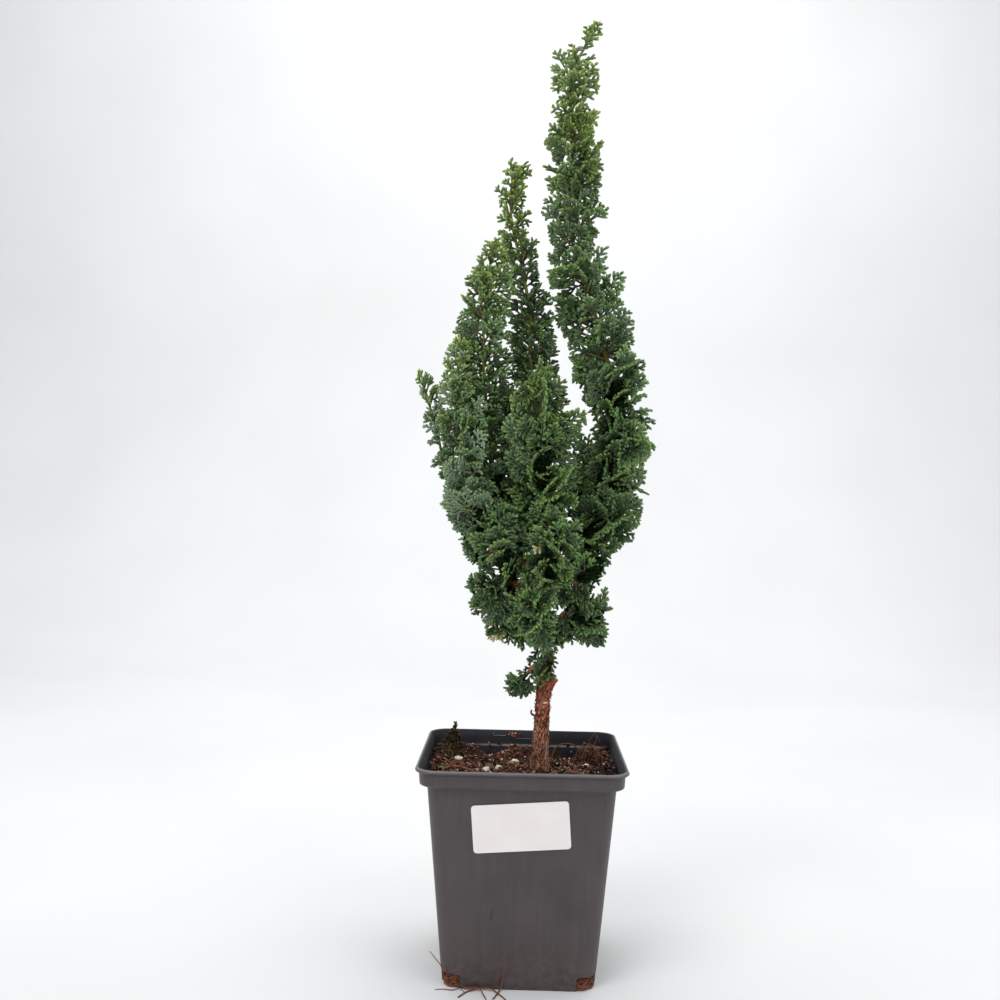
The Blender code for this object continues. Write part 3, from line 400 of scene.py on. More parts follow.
class Shader:
    """A node material being put together: each call adds one node and returns it."""

    def __init__(self, name, roughness=0.6, specular=0.5):
        self.material = bpy.data.materials.new(name)
        self.material.use_nodes = True
        self.tree = self.material.node_tree
        self.surface = self.tree.nodes["Principled BSDF"]
        self.surface.inputs["Roughness"].default_value = roughness
        self.surface.inputs["Specular IOR Level"].default_value = specular

    def add(self, kind, inputs=None, **settings):
        made = self.tree.nodes.new("ShaderNode" + kind)
        for key, value in settings.items():
            setattr(made, key, value)
        for key, value in (inputs or {}).items():
            self.put(made.inputs[key], value)
        return made

    def put(self, socket, value):
        if isinstance(value, bpy.types.NodeSocket):
            self.tree.links.new(value, socket)
        elif isinstance(value, tuple) and len(value) == 3 and socket.type == "RGBA":
            socket.default_value = (*value, 1.0)
        else:
            socket.default_value = value

    def place(self, scale=(1, 1, 1)):
        where = self.add("TexCoord").outputs["Object"]
        return self.add("Mapping", {"Vector": where, "Scale": scale}).outputs["Vector"]

    def noise(self, where, scale, detail=4.0, roughness=0.55, distortion=0.0):
        made = self.add(
            "TexNoise",
            {
                "Vector": where,
                "Scale": scale,
                "Detail": detail,
                "Roughness": roughness,
                "Distortion": distortion,
            },
        )
        return made.outputs["Fac"]

    def cells(self, where, scale, feature="F1"):
        made = self.add("TexVoronoi", {"Vector": where, "Scale": scale}, feature=feature)
        return made.outputs["Distance"]

    def ramp(self, fac, *stops):
        made = self.add("ValToRGB", {"Fac": fac})
        band = made.color_ramp
        while len(band.elements) < len(stops):
            band.elements.new(0.5)
        for element, (at, colour) in zip(band.elements, stops):
            element.position = at
            element.color = (*colour, 1.0) if isinstance(colour, tuple) else (colour,) * 3 + (1.0,)
        return made.outputs["Color"]

    def mix(self, fac, first, second, blend="MIX"):
        made = self.add("Mix", data_type="RGBA", blend_type=blend)
        self.put(made.inputs[0], fac)
        self.put(made.inputs[6], first)
        self.put(made.inputs[7], second)
        return made.outputs[2]

    def maths(self, operation, first, second=0.0):
        made = self.add("Math", operation=operation)
        self.put(made.inputs[0], first)
        self.put(made.inputs[1], second)
        return made.outputs[0]

    def between(self, value, low, high, to_low=0.0, to_high=1.0):
        made = self.add(
            "MapRange",
            {"Value": value, "From Min": low, "From Max": high, "To Min": to_low, "To Max": to_high},
        )
        return made.outputs["Result"]

    def attribute(self, name):
        made = self.add("Attribute", attribute_name=name)
        parts = self.add("SeparateColor", {"Color": made.outputs["Color"]})
        return (*parts.outputs[:3], made.outputs["Alpha"])

    def height(self):
        where = self.add("TexCoord").outputs["Object"]
        return self.add("SeparateXYZ", {"Vector": where}).outputs["Z"]

    def depth(self):
        where = self.add("TexCoord").outputs["Object"]
        return self.add("SeparateXYZ", {"Vector": where}).outputs["Y"]

    def finish(self, colour, bump=None, strength=0.5, depth=0.3, roughness=None):
        self.put(self.surface.inputs["Base Color"], colour)
        if roughness is not None:
            self.put(self.surface.inputs["Roughness"], roughness)
        if bump is not None:
            lifted = self.add("Bump", {"Height": bump, "Strength": strength, "Distance": depth * MM})
            self.put(self.surface.inputs["Normal"], lifted.outputs["Normal"])
        return self.material


def foliage_material():
    """Scale leaves: dark at a shoot's foot as painted shade between the shoots, lighter at its tip partly as painted
    highlight, yellow-green when fresh, pale beneath.
    """
    s = Shader("foliage_scales", roughness=0.40, specular=0.5)
    fresh, tone, pale, along = s.attribute("growth")
    run, across, dead, _ = s.attribute("scales")
    where = s.place()
    # Painted shade and highlight: each shoot runs from nearly black at its foot, the shade in the gaps between shoots,
    # to a light tip that is partly real fresh colour and partly painted highlight.
    outer = s.maths("POWER", along, 1.5)
    old = s.mix(outer, (0.008, 0.020, 0.007), (0.102, 0.213, 0.066))
    bright = s.mix(outer, (0.024, 0.060, 0.016), (0.295, 0.525, 0.120))
    green = s.mix(tone, old, bright)
    young = s.mix(outer, (0.11, 0.20, 0.022), (0.50, 0.68, 0.075))
    green = s.mix(fresh, green, young)
    mottle = s.noise(where, 420, 3)
    green = s.mix(0.5, green, s.ramp(mottle, (0.3, 0.4), (0.7, 1.0)), "MULTIPLY")
    aside = s.maths("ABSOLUTE", s.maths("SUBTRACT", across, 0.5))
    rows = s.maths("ADD", s.maths("MULTIPLY", run, 10.0 / SCALE_LENGTH), s.maths("MULTIPLY", aside, 0.9))
    scale = s.maths("FRACT", rows)
    # Painted shade: darker where one scale meets the next, standing in for the shade in the creases between scales.
    scaled = s.ramp(scale, (0.0, 0.30), (0.22, 0.75), (0.72, 1.0), (0.95, 0.55))
    green = s.mix(0.7, green, scaled, "MULTIPLY")
    bloom = s.ramp(scale, (0.0, 1.0), (0.30, 0.35), (0.8, 0.10))
    waxy = s.mix(bloom, (0.16, 0.29, 0.135), (0.82, 0.92, 0.78))
    stripe = s.ramp(aside, (0.08, 0.15), (0.18, 1.0), (0.34, 1.0), (0.46, 0.15))
    colour = s.mix(s.maths("MULTIPLY", pale, stripe), green, waxy)
    colour = s.mix(dead, colour, s.mix(along, (0.30, 0.22, 0.07), (0.84, 0.78, 0.38)))
    return s.finish(colour, s.ramp(scale, (0.0, 0.0), (0.7, 1.0), (1.0, 0.2)), strength=0.5, depth=0.25)


def shade_material():
    """Painted shade: the leaves deep inside a dense stem, painted nearly black as if hardly lit."""
    s = Shader("painted_shade_inner_leaves", roughness=0.95, specular=0.05)
    where = s.place()
    leaves = s.cells(where, 620)
    colour = s.ramp(leaves, (0.0, (0.030, 0.062, 0.018)), (0.5, (0.010, 0.022, 0.007)), (0.9, (0.002, 0.004, 0.002)))
    return s.finish(colour, s.ramp(leaves, (0.0, 1.0), (0.8, 0.0)), strength=1.0, depth=1.2)


def twig_material():
    """Branchlet bark: red-brown low down, olive green where it is young."""
    s = Shader("twig_bark", roughness=0.7, specular=0.25)
    young, tone, _, _ = s.attribute("growth")
    where = s.place((1, 1, 0.3))
    brown = s.mix(tone, (0.055, 0.020, 0.010), (0.20, 0.075, 0.036))
    green = s.mix(tone, (0.16, 0.155, 0.035), (0.36, 0.34, 0.075))
    colour = s.mix(young, brown, green)
    grain = s.noise(where, 900, 4)
    colour = s.mix(0.6, colour, s.ramp(grain, (0.35, 0.35), (0.65, 1.0)), "MULTIPLY")
    return s.finish(colour, grain, strength=0.6, depth=0.3)


def bark_material():
    """Old bark: red-brown fibres in flaking strips, pale where a flake has come away and partly as painted highlight on
    the flakes, dark in the cracks.
    """
    s = Shader("trunk_bark", roughness=0.85, specular=0.2)
    low, tone, sleek, aged = s.attribute("growth")
    where = s.place((1, 1, 0.85))
    plates = s.noise(where, 720, 5, 0.68, 0.6)
    fibres = s.noise(s.place((1, 1, 0.25)), 1300, 4, 0.6)
    colour = s.ramp(
        plates,
        (0.34, (0.030, 0.011, 0.008)),
        (0.42, (0.150, 0.040, 0.022)),
        (0.50, (0.430, 0.110, 0.052)),
        (0.58, (0.650, 0.235, 0.118)),
        (0.72, (0.920, 0.600, 0.400)),
    )
    colour = s.mix(0.35, colour, s.ramp(fibres, (0.35, 0.30), (0.6, 1.0)), "MULTIPLY")
    smooth_bark = s.ramp(plates, (0.35, (0.190, 0.050, 0.032)), (0.65, (0.460, 0.160, 0.105)))
    colour = s.mix(s.maths("MULTIPLY", sleek, 0.7), colour, smooth_bark)
    old_bark = s.ramp(plates, (0.35, (0.036, 0.019, 0.012)), (0.52, (0.190, 0.098, 0.052)), (0.68, (0.52, 0.36, 0.22)))
    colour = s.mix(s.maths("MULTIPLY", aged, 0.6), colour, old_bark)
    # Pale where the tone says: real pale fibres and bare patches, and on the flakes partly a painted highlight.
    colour = s.mix(s.maths("MULTIPLY", tone, 0.85), colour, (0.92, 0.66, 0.48))
    colour = s.mix(s.maths("MULTIPLY", low, 0.7), colour, (0.060, 0.026, 0.017))
    relief = s.mix(0.5, plates, fibres)
    return s.finish(colour, relief, strength=0.9, depth=0.8)


def pot_material():
    """Dark grey moulded plastic: faint upright scuffs, a paler rim, dust at the foot."""
    s = Shader("pot_plastic_finish", roughness=0.42, specular=0.45)
    where = s.place()
    z = s.height()
    scuffs = s.noise(s.place((1, 1, 0.05)), 260, 5, 0.6)
    cloud = s.noise(where, 38, 4, 0.55)
    colour = s.ramp(cloud, (0.3, (0.056, 0.0465, 0.0475)), (0.7, (0.080, 0.0665, 0.068)))
    foot = s.between(z, 70 * MM, 8 * MM)
    colour = s.mix(foot, colour, s.mix(1.0, colour, (0.96, 0.86, 0.83), "MULTIPLY"))
    colour = s.mix(s.ramp(scuffs, (0.55, 0.0), (0.80, 0.22)), colour, (0.13, 0.120, 0.122))
    colour = s.mix(s.ramp(scuffs, (0.25, 0.35), (0.45, 0.0)), colour, (0.034, 0.029, 0.030))
    marks = s.noise(s.place((1, 1, 0.30)), 150, 2, 0.5)
    colour = s.mix(s.ramp(marks, (0.70, 0.0), (0.76, 0.7)), colour, (0.030, 0.027, 0.029))
    rim = s.between(z, (POT_HEIGHT - 1.6) * MM, (POT_HEIGHT - 0.4) * MM)
    colour = s.mix(s.maths("MULTIPLY", rim, 0.5), colour, (0.24, 0.225, 0.235))
    dust = s.between(z, 24 * MM, 2 * MM)
    speck = s.ramp(s.noise(where, 300, 6, 0.7), (0.45, 0.0), (0.7, 1.0))
    dusty = s.maths("MULTIPLY", s.maths("MULTIPLY", dust, speck), 0.55)
    colour = s.mix(dusty, colour, (0.16, 0.115, 0.10))
    grain = s.noise(where, 1500, 2, 0.5)
    rough = s.between(cloud, 0.3, 0.7, 0.36, 0.52)
    bump = s.mix(0.35, scuffs, grain)
    return s.finish(colour, bump, strength=0.12, depth=0.15, roughness=rough)


def pot_inside_material():
    """The pot's inner side: the same plastic painted nearly black as painted shade, with soil smeared low down."""
    s = Shader("pot_plastic_inside", roughness=0.55, specular=0.22)
    where = s.place()
    cloud = s.noise(where, 60, 4, 0.6)
    # Painted shade: the inner plastic is painted far darker than the outer.
    colour = s.ramp(cloud, (0.3, (0.009, 0.010, 0.014)), (0.7, (0.021, 0.021, 0.026)))
    # Painted light: the top of the inner wall painted less dark, where light reaches in over the rim.
    lip = s.between(s.height(), (POT_HEIGHT - 4.5) * MM, (POT_HEIGHT - 1.4) * MM)
    colour = s.mix(s.maths("MULTIPLY", lip, 0.3), colour, (0.050, 0.050, 0.058))
    # Paler, patchy grey along the top of the back ledge.
    ledge = s.between(s.height(), (COLLAR_BOTTOM + 1.75) * MM, (COLLAR_BOTTOM + 1.35) * MM)
    ledge = s.maths("MULTIPLY", ledge, s.between(s.height(), (COLLAR_BOTTOM + 0.8) * MM, (COLLAR_BOTTOM + 1.1) * MM))
    back = s.between(s.depth(), 44 * MM, 47 * MM)
    pale_back_ledge = s.maths("MULTIPLY", s.maths("MULTIPLY", ledge, back), s.ramp(cloud, (0.35, 0.15), (0.6, 0.9)))
    colour = s.mix(pale_back_ledge, colour, (0.20, 0.20, 0.22))
    smear = s.ramp(s.noise(where, 190, 6, 0.7), (0.48, 0.0), (0.62, 1.0))
    low = s.between(s.height(), (COLLAR_BOTTOM + 4.5) * MM, (COLLAR_BOTTOM - 1.0) * MM)
    colour = s.mix(s.maths("MULTIPLY", smear, s.maths("MULTIPLY", low, 0.8)), colour, (0.060, 0.028, 0.017))
    dots = s.ramp(s.cells(where, 150), (0.04, 1.0), (0.10, 0.0))
    colour = s.mix(s.maths("MULTIPLY", dots, 0.8), colour, (0.42, 0.36, 0.32))
    return s.finish(colour, cloud, strength=0.15, depth=0.2)


def label_material():
    """Sticker paper: off-white with a faint pink cast and fine fibres."""
    s = Shader("label_paper_finish", roughness=0.5, specular=0.35)
    where = s.place()
    cloud = s.noise(where, 60, 3)
    colour = s.ramp(cloud, (0.3, (0.95, 0.870, 0.845)), (0.7, (0.98, 0.925, 0.90)))
    fibres = s.noise(where, 1400, 5, 0.7)
    colour = s.mix(0.10, colour, s.ramp(fibres, (0.3, 0.6), (0.7, 1.0)), "MULTIPLY")
    return s.finish(colour, fibres, strength=0.08, depth=0.1)


def speckled_material(name, low, high, scale, roughness=0.9, strength=0.8, depth=0.4, stretch=1.0):
    """A natural surface between two colours, in a grain of noise."""
    s = Shader(name, roughness=roughness, specular=0.25)
    where = s.place((1, 1, stretch))
    grain = s.noise(where, scale, 5, 0.6)
    colour = s.ramp(grain, (0.3, low), (0.7, high))
    return s.finish(colour, grain, strength=strength, depth=depth)


def toned_material(name, dark, light, scale, roughness=0.85, darkest=0.4):
    """A natural surface whose pieces differ: each vertex's tone picks between two colours."""
    s = Shader(name, roughness=roughness, specular=0.25)
    _, tone, _, _ = s.attribute("growth")
    where = s.place()
    grain = s.noise(where, scale, 4, 0.6)
    colour = s.mix(tone, dark, light)
    colour = s.mix(0.5, colour, s.ramp(grain, (0.3, darkest), (0.65, 1.0)), "MULTIPLY")
    return s.finish(colour, grain, strength=0.7, depth=0.3)


# Routes


def smooth_route(points, step):
    """Points of a Catmull-Rom curve through the given ones, as an array."""
    points = np.asarray(points, dtype=float)
    ends = np.concatenate([points[:1], points, points[-1:]])
    made = []
    for before, start, end, after in zip(ends, ends[1:], ends[2:], ends[3:]):
        pieces = max(1, round(np.linalg.norm(end[:3] - start[:3]) / step))
        t = (np.arange(pieces) / pieces)[:, None]
        made.append(
            0.5
            * (
                2 * start
                + (end - before) * t
                + (2 * before - 5 * start + 4 * end - after) * t * t
                + (3 * start - before - 3 * end + after) * t * t * t
            )
        )
    made.append(points[-1:])
    return np.concatenate(made)


def route_axes(places):
    """The unit tangent at each place and two axes across it, carried along without twist."""
    tangents = np.gradient(places, axis=0)
    tangents /= np.linalg.norm(tangents, axis=1)[:, None]
    side = np.cross(tangents[0], (0.0, 1.0, 0.0))
    if np.linalg.norm(side) < 0.3:
        side = np.cross(tangents[0], (1.0, 0.0, 0.0))
    sides = []
    for tangent in tangents:
        side = side - tangent * side.dot(tangent)
        side /= np.linalg.norm(side)
        sides.append(side)
    sides = np.array(sides)
    return tangents, sides, np.cross(tangents, sides)


def tube(stations, sides, relief=None, cap=True):
    """Points and faces of a closed tube through (x, y, z, radius) rows; relief(angle, i) scales the radius."""
    stations = np.asarray(stations, dtype=float)
    _, across, up = route_axes(stations[:, :3])
    angles = 2 * math.pi * np.arange(sides) / sides
    radius = np.repeat(stations[:, 3:4], sides, axis=1)
    if relief is not None:
        radius = radius * relief
    ring = across[:, None] * np.cos(angles)[None, :, None] + up[:, None] * np.sin(angles)[None, :, None]
    points = stations[:, None, :3] + radius[:, :, None] * ring
    count = len(stations)
    low = np.arange((count - 1) * sides).reshape(count - 1, sides)
    after = np.roll(low, -1, axis=1)
    quads = np.stack([low, after, after + sides, low + sides], axis=-1).reshape(-1, 4)
    points = points.reshape(-1, 3)
    caps = np.zeros((0, 3), dtype=int)
    if cap:
        points = np.concatenate([points, stations[:1, :3], stations[-1:, :3]])
        k = np.arange(sides)
        foot = np.stack([np.full(sides, count * sides), (k + 1) % sides, k], axis=-1)
        last = (count - 1) * sides
        top = np.stack([np.full(sides, count * sides + 1), last + k, last + (k + 1) % sides], axis=-1)
        caps = np.concatenate([foot, top])
    return points, quads, caps


class Heap:
    """Points, faces and colours of many small pieces, gathered for one mesh."""

    def __init__(self):
        self.points, self.quads, self.triangles, self.colours, self.count = [], [], [], [], 0
        self.slots = {3: [], 4: []}
        self.scales = []

    def add(self, points, quads, triangles, colour, slot=0, scales=(0.0, 0.5, 0.0, 0.0)):
        self.points.append(points)
        self.quads.append(np.asarray(quads, dtype=int).reshape(-1, 4) + self.count)
        self.triangles.append(np.asarray(triangles, dtype=int).reshape(-1, 3) + self.count)
        self.slots[4].append(np.full(len(self.quads[-1]), slot))
        self.slots[3].append(np.full(len(self.triangles[-1]), slot))
        colour = np.asarray(colour, dtype=float)
        self.colours.append(np.broadcast_to(colour, (len(points), 4)))
        self.scales.append(np.broadcast_to(np.asarray(scales, dtype=float), (len(points), 4)))
        self.count += len(points)

    def mesh(self, name, smooth=True):
        points = np.concatenate(self.points) * MM
        quads = np.concatenate(self.quads)
        triangles = np.concatenate(self.triangles)
        made = mesh_from(name, points, [quads, triangles], smooth)
        slots = np.concatenate([*self.slots[4], *self.slots[3]]).astype(np.int32)
        made.polygons.foreach_set("material_index", slots)
        set_colour(made, "growth", np.concatenate(self.colours))
        if any(len(rows) and rows[-1, 0] > 0 for rows in self.scales):
            set_colour(made, "scales", np.concatenate(self.scales))
        return made


# Foliage


def grow_frond(shoots, x, y, angle, length, level, draws):
    """Adds the shoots of a flat frond in its own plane: a rib with side shoots, and theirs, in mm."""
    shoots.append((x, y, angle, length, level))
    if length < 5.6 or level > 1:
        return
    side = draws.choice((-1, 1))
    along = length * (0.16 if level == 0 else 0.36) + draws.uniform(0, 0.9)
    while along < length - 1.6:
        share = along / length
        lean = math.radians(draws.uniform(40, 58)) - 0.2 * share
        branch = max(2.7, min(0.56 * length, (length - along) * draws.uniform(0.6, 0.85) + 1.0))
        spot_x = x + along * math.cos(angle)
        spot_y = y + along * math.sin(angle)
        grow_frond(shoots, spot_x, spot_y, angle + side * lean, branch, level + 1, draws)
        side = -side
        along += draws.uniform(1.7, 2.25)


def frond_arrays(forward, across, length, cup, droop, draws):
    """Feet, tips, bends, normals, levels of all shoots of one frond that starts at the origin, in mm."""
    shoots = []
    grow_frond(shoots, 0.0, 0.0, draws.uniform(-0.05, 0.05), length, 0, draws)
    flat = np.array(shoots)
    normal = np.cross(forward, across)

    def place(x, y):
        lift = -(cup * y * y + droop * x * x) / length
        return np.outer(x, forward) + np.outer(y, across) + np.outer(lift, normal)

    x, y, angle, reach, level = flat.T
    tip_x, tip_y = x + reach * np.cos(angle), y + reach * np.sin(angle)
    foot = place(x, y)
    tip = place(tip_x, tip_y)
    middle = place((x + tip_x) / 2, (y + tip_y) / 2)
    bend = 2 * (foot + tip - 2 * middle)
    slope_x = -2 * droop * x / length
    slope_y = -2 * cup * y / length
    up = normal - np.outer(slope_x, forward) - np.outer(slope_y, across)
    up += 0.2 * np.array([[draws.gauss(0, 1) for _ in range(3)] for _ in shoots])
    tip += 0.4 * np.array([[draws.gauss(0, 1) for _ in range(3)] for _ in shoots])
    return foot, tip, bend, up, level


def turned(ahead, across, yaw, roll, nod):
    """The forward and sideways directions of a side frond: yawed in its parent's plane, nodded and rolled."""
    above = np.cross(ahead, across)
    way = ahead * math.cos(yaw) + across * math.sin(yaw)
    way = way * math.cos(nod) + above * math.sin(nod)
    flat = np.cross(above, way)
    flat /= np.linalg.norm(flat)
    lift = np.cross(way, flat)
    return way, flat * math.cos(roll) + lift * math.sin(roll)


def branchlet(spot, ahead, across, length, stalk, draws):
    """The fronds of one side branch, as (root, ahead, across, length), and its bare part."""
    if length < 11.5:
        root = spot + ahead * min(stalk, 0.4 * length)
        fronds = [(root, ahead, across, length - min(stalk, 0.4 * length))]
        return fronds, [spot, root + ahead * 0.8]
    own = length * 0.5
    last = spot + ahead * (length - own)
    fronds = [(last, ahead, across, own)]
    side = draws.choice((-1, 1))
    at = max(stalk, 1.2)
    while at < length - own + 1.0:
        root = spot + ahead * at
        yaw = side * math.radians(draws.uniform(36, 62))
        way, flat = turned(ahead, across, yaw, draws.gauss(0, 0.5), draws.gauss(0, 0.28))
        size = max(4.6, min(0.58 * length, (length - at) * draws.uniform(0.6, 0.8)))
        fronds.append((root, way, flat, size))
        side = -side
        at += draws.uniform(2.3, 3.4)
    return fronds, [spot, (spot + last) / 2, last + ahead * 0.8]


def shoots_mesh(foot, tip, bend, up, half_width, half_depth):
    """Points and faces of scale-clad shoots: blunt flattened tubes that swell and pinch along their length."""
    count = len(foot)
    run = tip - foot
    length = np.linalg.norm(run, axis=1)[:, None]
    ahead = run / length
    across = np.cross(up, ahead)
    across /= np.linalg.norm(across, axis=1)[:, None]
    above = np.cross(ahead, across)
    s = RING_AT[None, :, None]
    centre = foot[:, None] + run[:, None] * s + bend[:, None] * (s * s - s)
    angles = 2 * math.pi * np.arange(SHOOT_SIDES) / SHOOT_SIDES
    wide = half_width[:, None, None, None] * RING_WIDTH[None, :, None, None]
    deep = half_depth[:, None, None, None] * RING_WIDTH[None, :, None, None]
    ring = (
        across[:, None, None] * np.cos(angles)[None, None, :, None] * wide
        + above[:, None, None] * np.sin(angles)[None, None, :, None] * deep
    )
    points = centre[:, :, None] + ring
    rings = len(RING_AT)
    end = tip + ahead * half_width[:, None] * 0.3
    points = np.concatenate([points.reshape(count, -1, 3), end[:, None]], axis=1)
    size = rings * SHOOT_SIDES + 1
    low = np.arange((rings - 1) * SHOOT_SIDES).reshape(rings - 1, SHOOT_SIDES)
    after = np.roll(low, -1, axis=1)
    quads = np.stack([low, after, after + SHOOT_SIDES, low + SHOOT_SIDES], axis=-1).reshape(-1, 4)
    last = (rings - 1) * SHOOT_SIDES
    k = np.arange(SHOOT_SIDES)
    cap = np.stack([last + k, last + (k + 1) % SHOOT_SIDES, np.full(SHOOT_SIDES, size - 1)], axis=-1)
    shift = (np.arange(count) * size)[:, None, None]
    along = np.concatenate([np.repeat(RING_AT, SHOOT_SIDES), [1.0]])
    under = np.concatenate([np.tile(np.clip(-np.sin(angles) * 1.3, 0, 1), rings), [0.3]])
    sideways = np.concatenate([np.tile(0.5 + 0.5 * np.cos(angles), rings), [0.5]])
    faces = (quads + shift).reshape(-1, 4), (cap + shift).reshape(-1, 3)
    return points.reshape(-1, 3), *faces, along, under, sideways


def painted_shade_core(heap, route, share, draws, top):
    """Painted shade: a dark knobbly middle behind the sprays of a dense stem, standing in for the deep shadow inside
    the foliage.
    """
    low = int(np.argmax(route[:, 3] > 8.0))
    inside = [i for i in range(low, len(route)) if route[i, 2] < top]
    if len(inside) < 12:
        return
    part = route[inside[0] : inside[-1] + 1].copy()
    ends = np.minimum(np.arange(len(part)), np.arange(len(part))[::-1])
    part[:, 3] *= share * np.clip(0.35 + ends / 12, 0, 1)
    sides = 20
    relief = np.array([[draws.uniform(0.6, 1.35) for _ in range(sides)] for _ in part])
    points, quads, caps = tube(part, sides, relief)
    heap.add(points, quads, caps, (0.0, 0.0, 0.0, 0.0), slot=2)


def side_edges(name, z, y):
    """The x at which a stem's sprays end to its left and to its right at a height."""
    rows = np.array(EDGES.get(name, CROWN_EDGES), dtype=float)[::-1]
    left, right = np.interp(z, rows[:, 0], rows[:, 1]), np.interp(z, rows[:, 0], rows[:, 2])
    if name not in EDGES:
        left, right = left * (1 + y / 620), right * (1 + y / 620)
    return left, right


def fitted(name, length, place, ahead, draws):
    """The length with which a branchlet that points sideways ends at its stem's edge."""
    run = ahead[0]
    if abs(run) < 0.3:
        return length
    usual = length
    slack = draws.uniform(0.80, 0.99)
    for _ in range(2):
        tip = place + ahead * length
        edge = side_edges(name, tip[2], tip[1])[int(run > 0)]
        wanted = max(2.0, (edge - place[0]) / run)
        length = min(usual, wanted)
        if name in EDGES and abs(run) > 0.5:
            length = min(1.7 * usual, wanted)
            slack = max(slack, 0.88)
    return length * slack


def facing_roll(radial, draws):
    """How far a branchlet's fan is turned about its own run: at a stem's sides most stand upright."""
    upright = 0.8 if abs(radial[0]) > 0.55 else 0.4
    if draws.random() < upright:
        return draws.choice((-1, 1)) * math.radians(draws.gauss(70, 16))
    return draws.gauss(0, 0.45)


def hanging_branchlets(name, draws):
    """Root, direction and length of the branchlets that hang from a low stem's foot."""
    branch, leafy = LEAFY_STEMS[name]
    count, lowest, highest = HANGING[name]
    route = smooth_route([(*p, 0.0) for p in branch] + [(*p[:3], 0.0) for p in leafy[:3]], 1.0)
    made = []
    for k in range(count):
        place = route[int((0.12 + 0.86 * (k + draws.random()) / count) * (len(route) - 1)), :3]
        drop = max(5.0, place[2] - draws.uniform(lowest, highest))
        aside = draws.uniform(0.15, 0.75)
        turn = draws.uniform(0, 2 * math.pi)
        way = np.array((aside * math.cos(turn), aside * math.sin(turn), -1.0))
        way /= np.linalg.norm(way)
        made.append((place, way, drop / -way[2]))
    return made


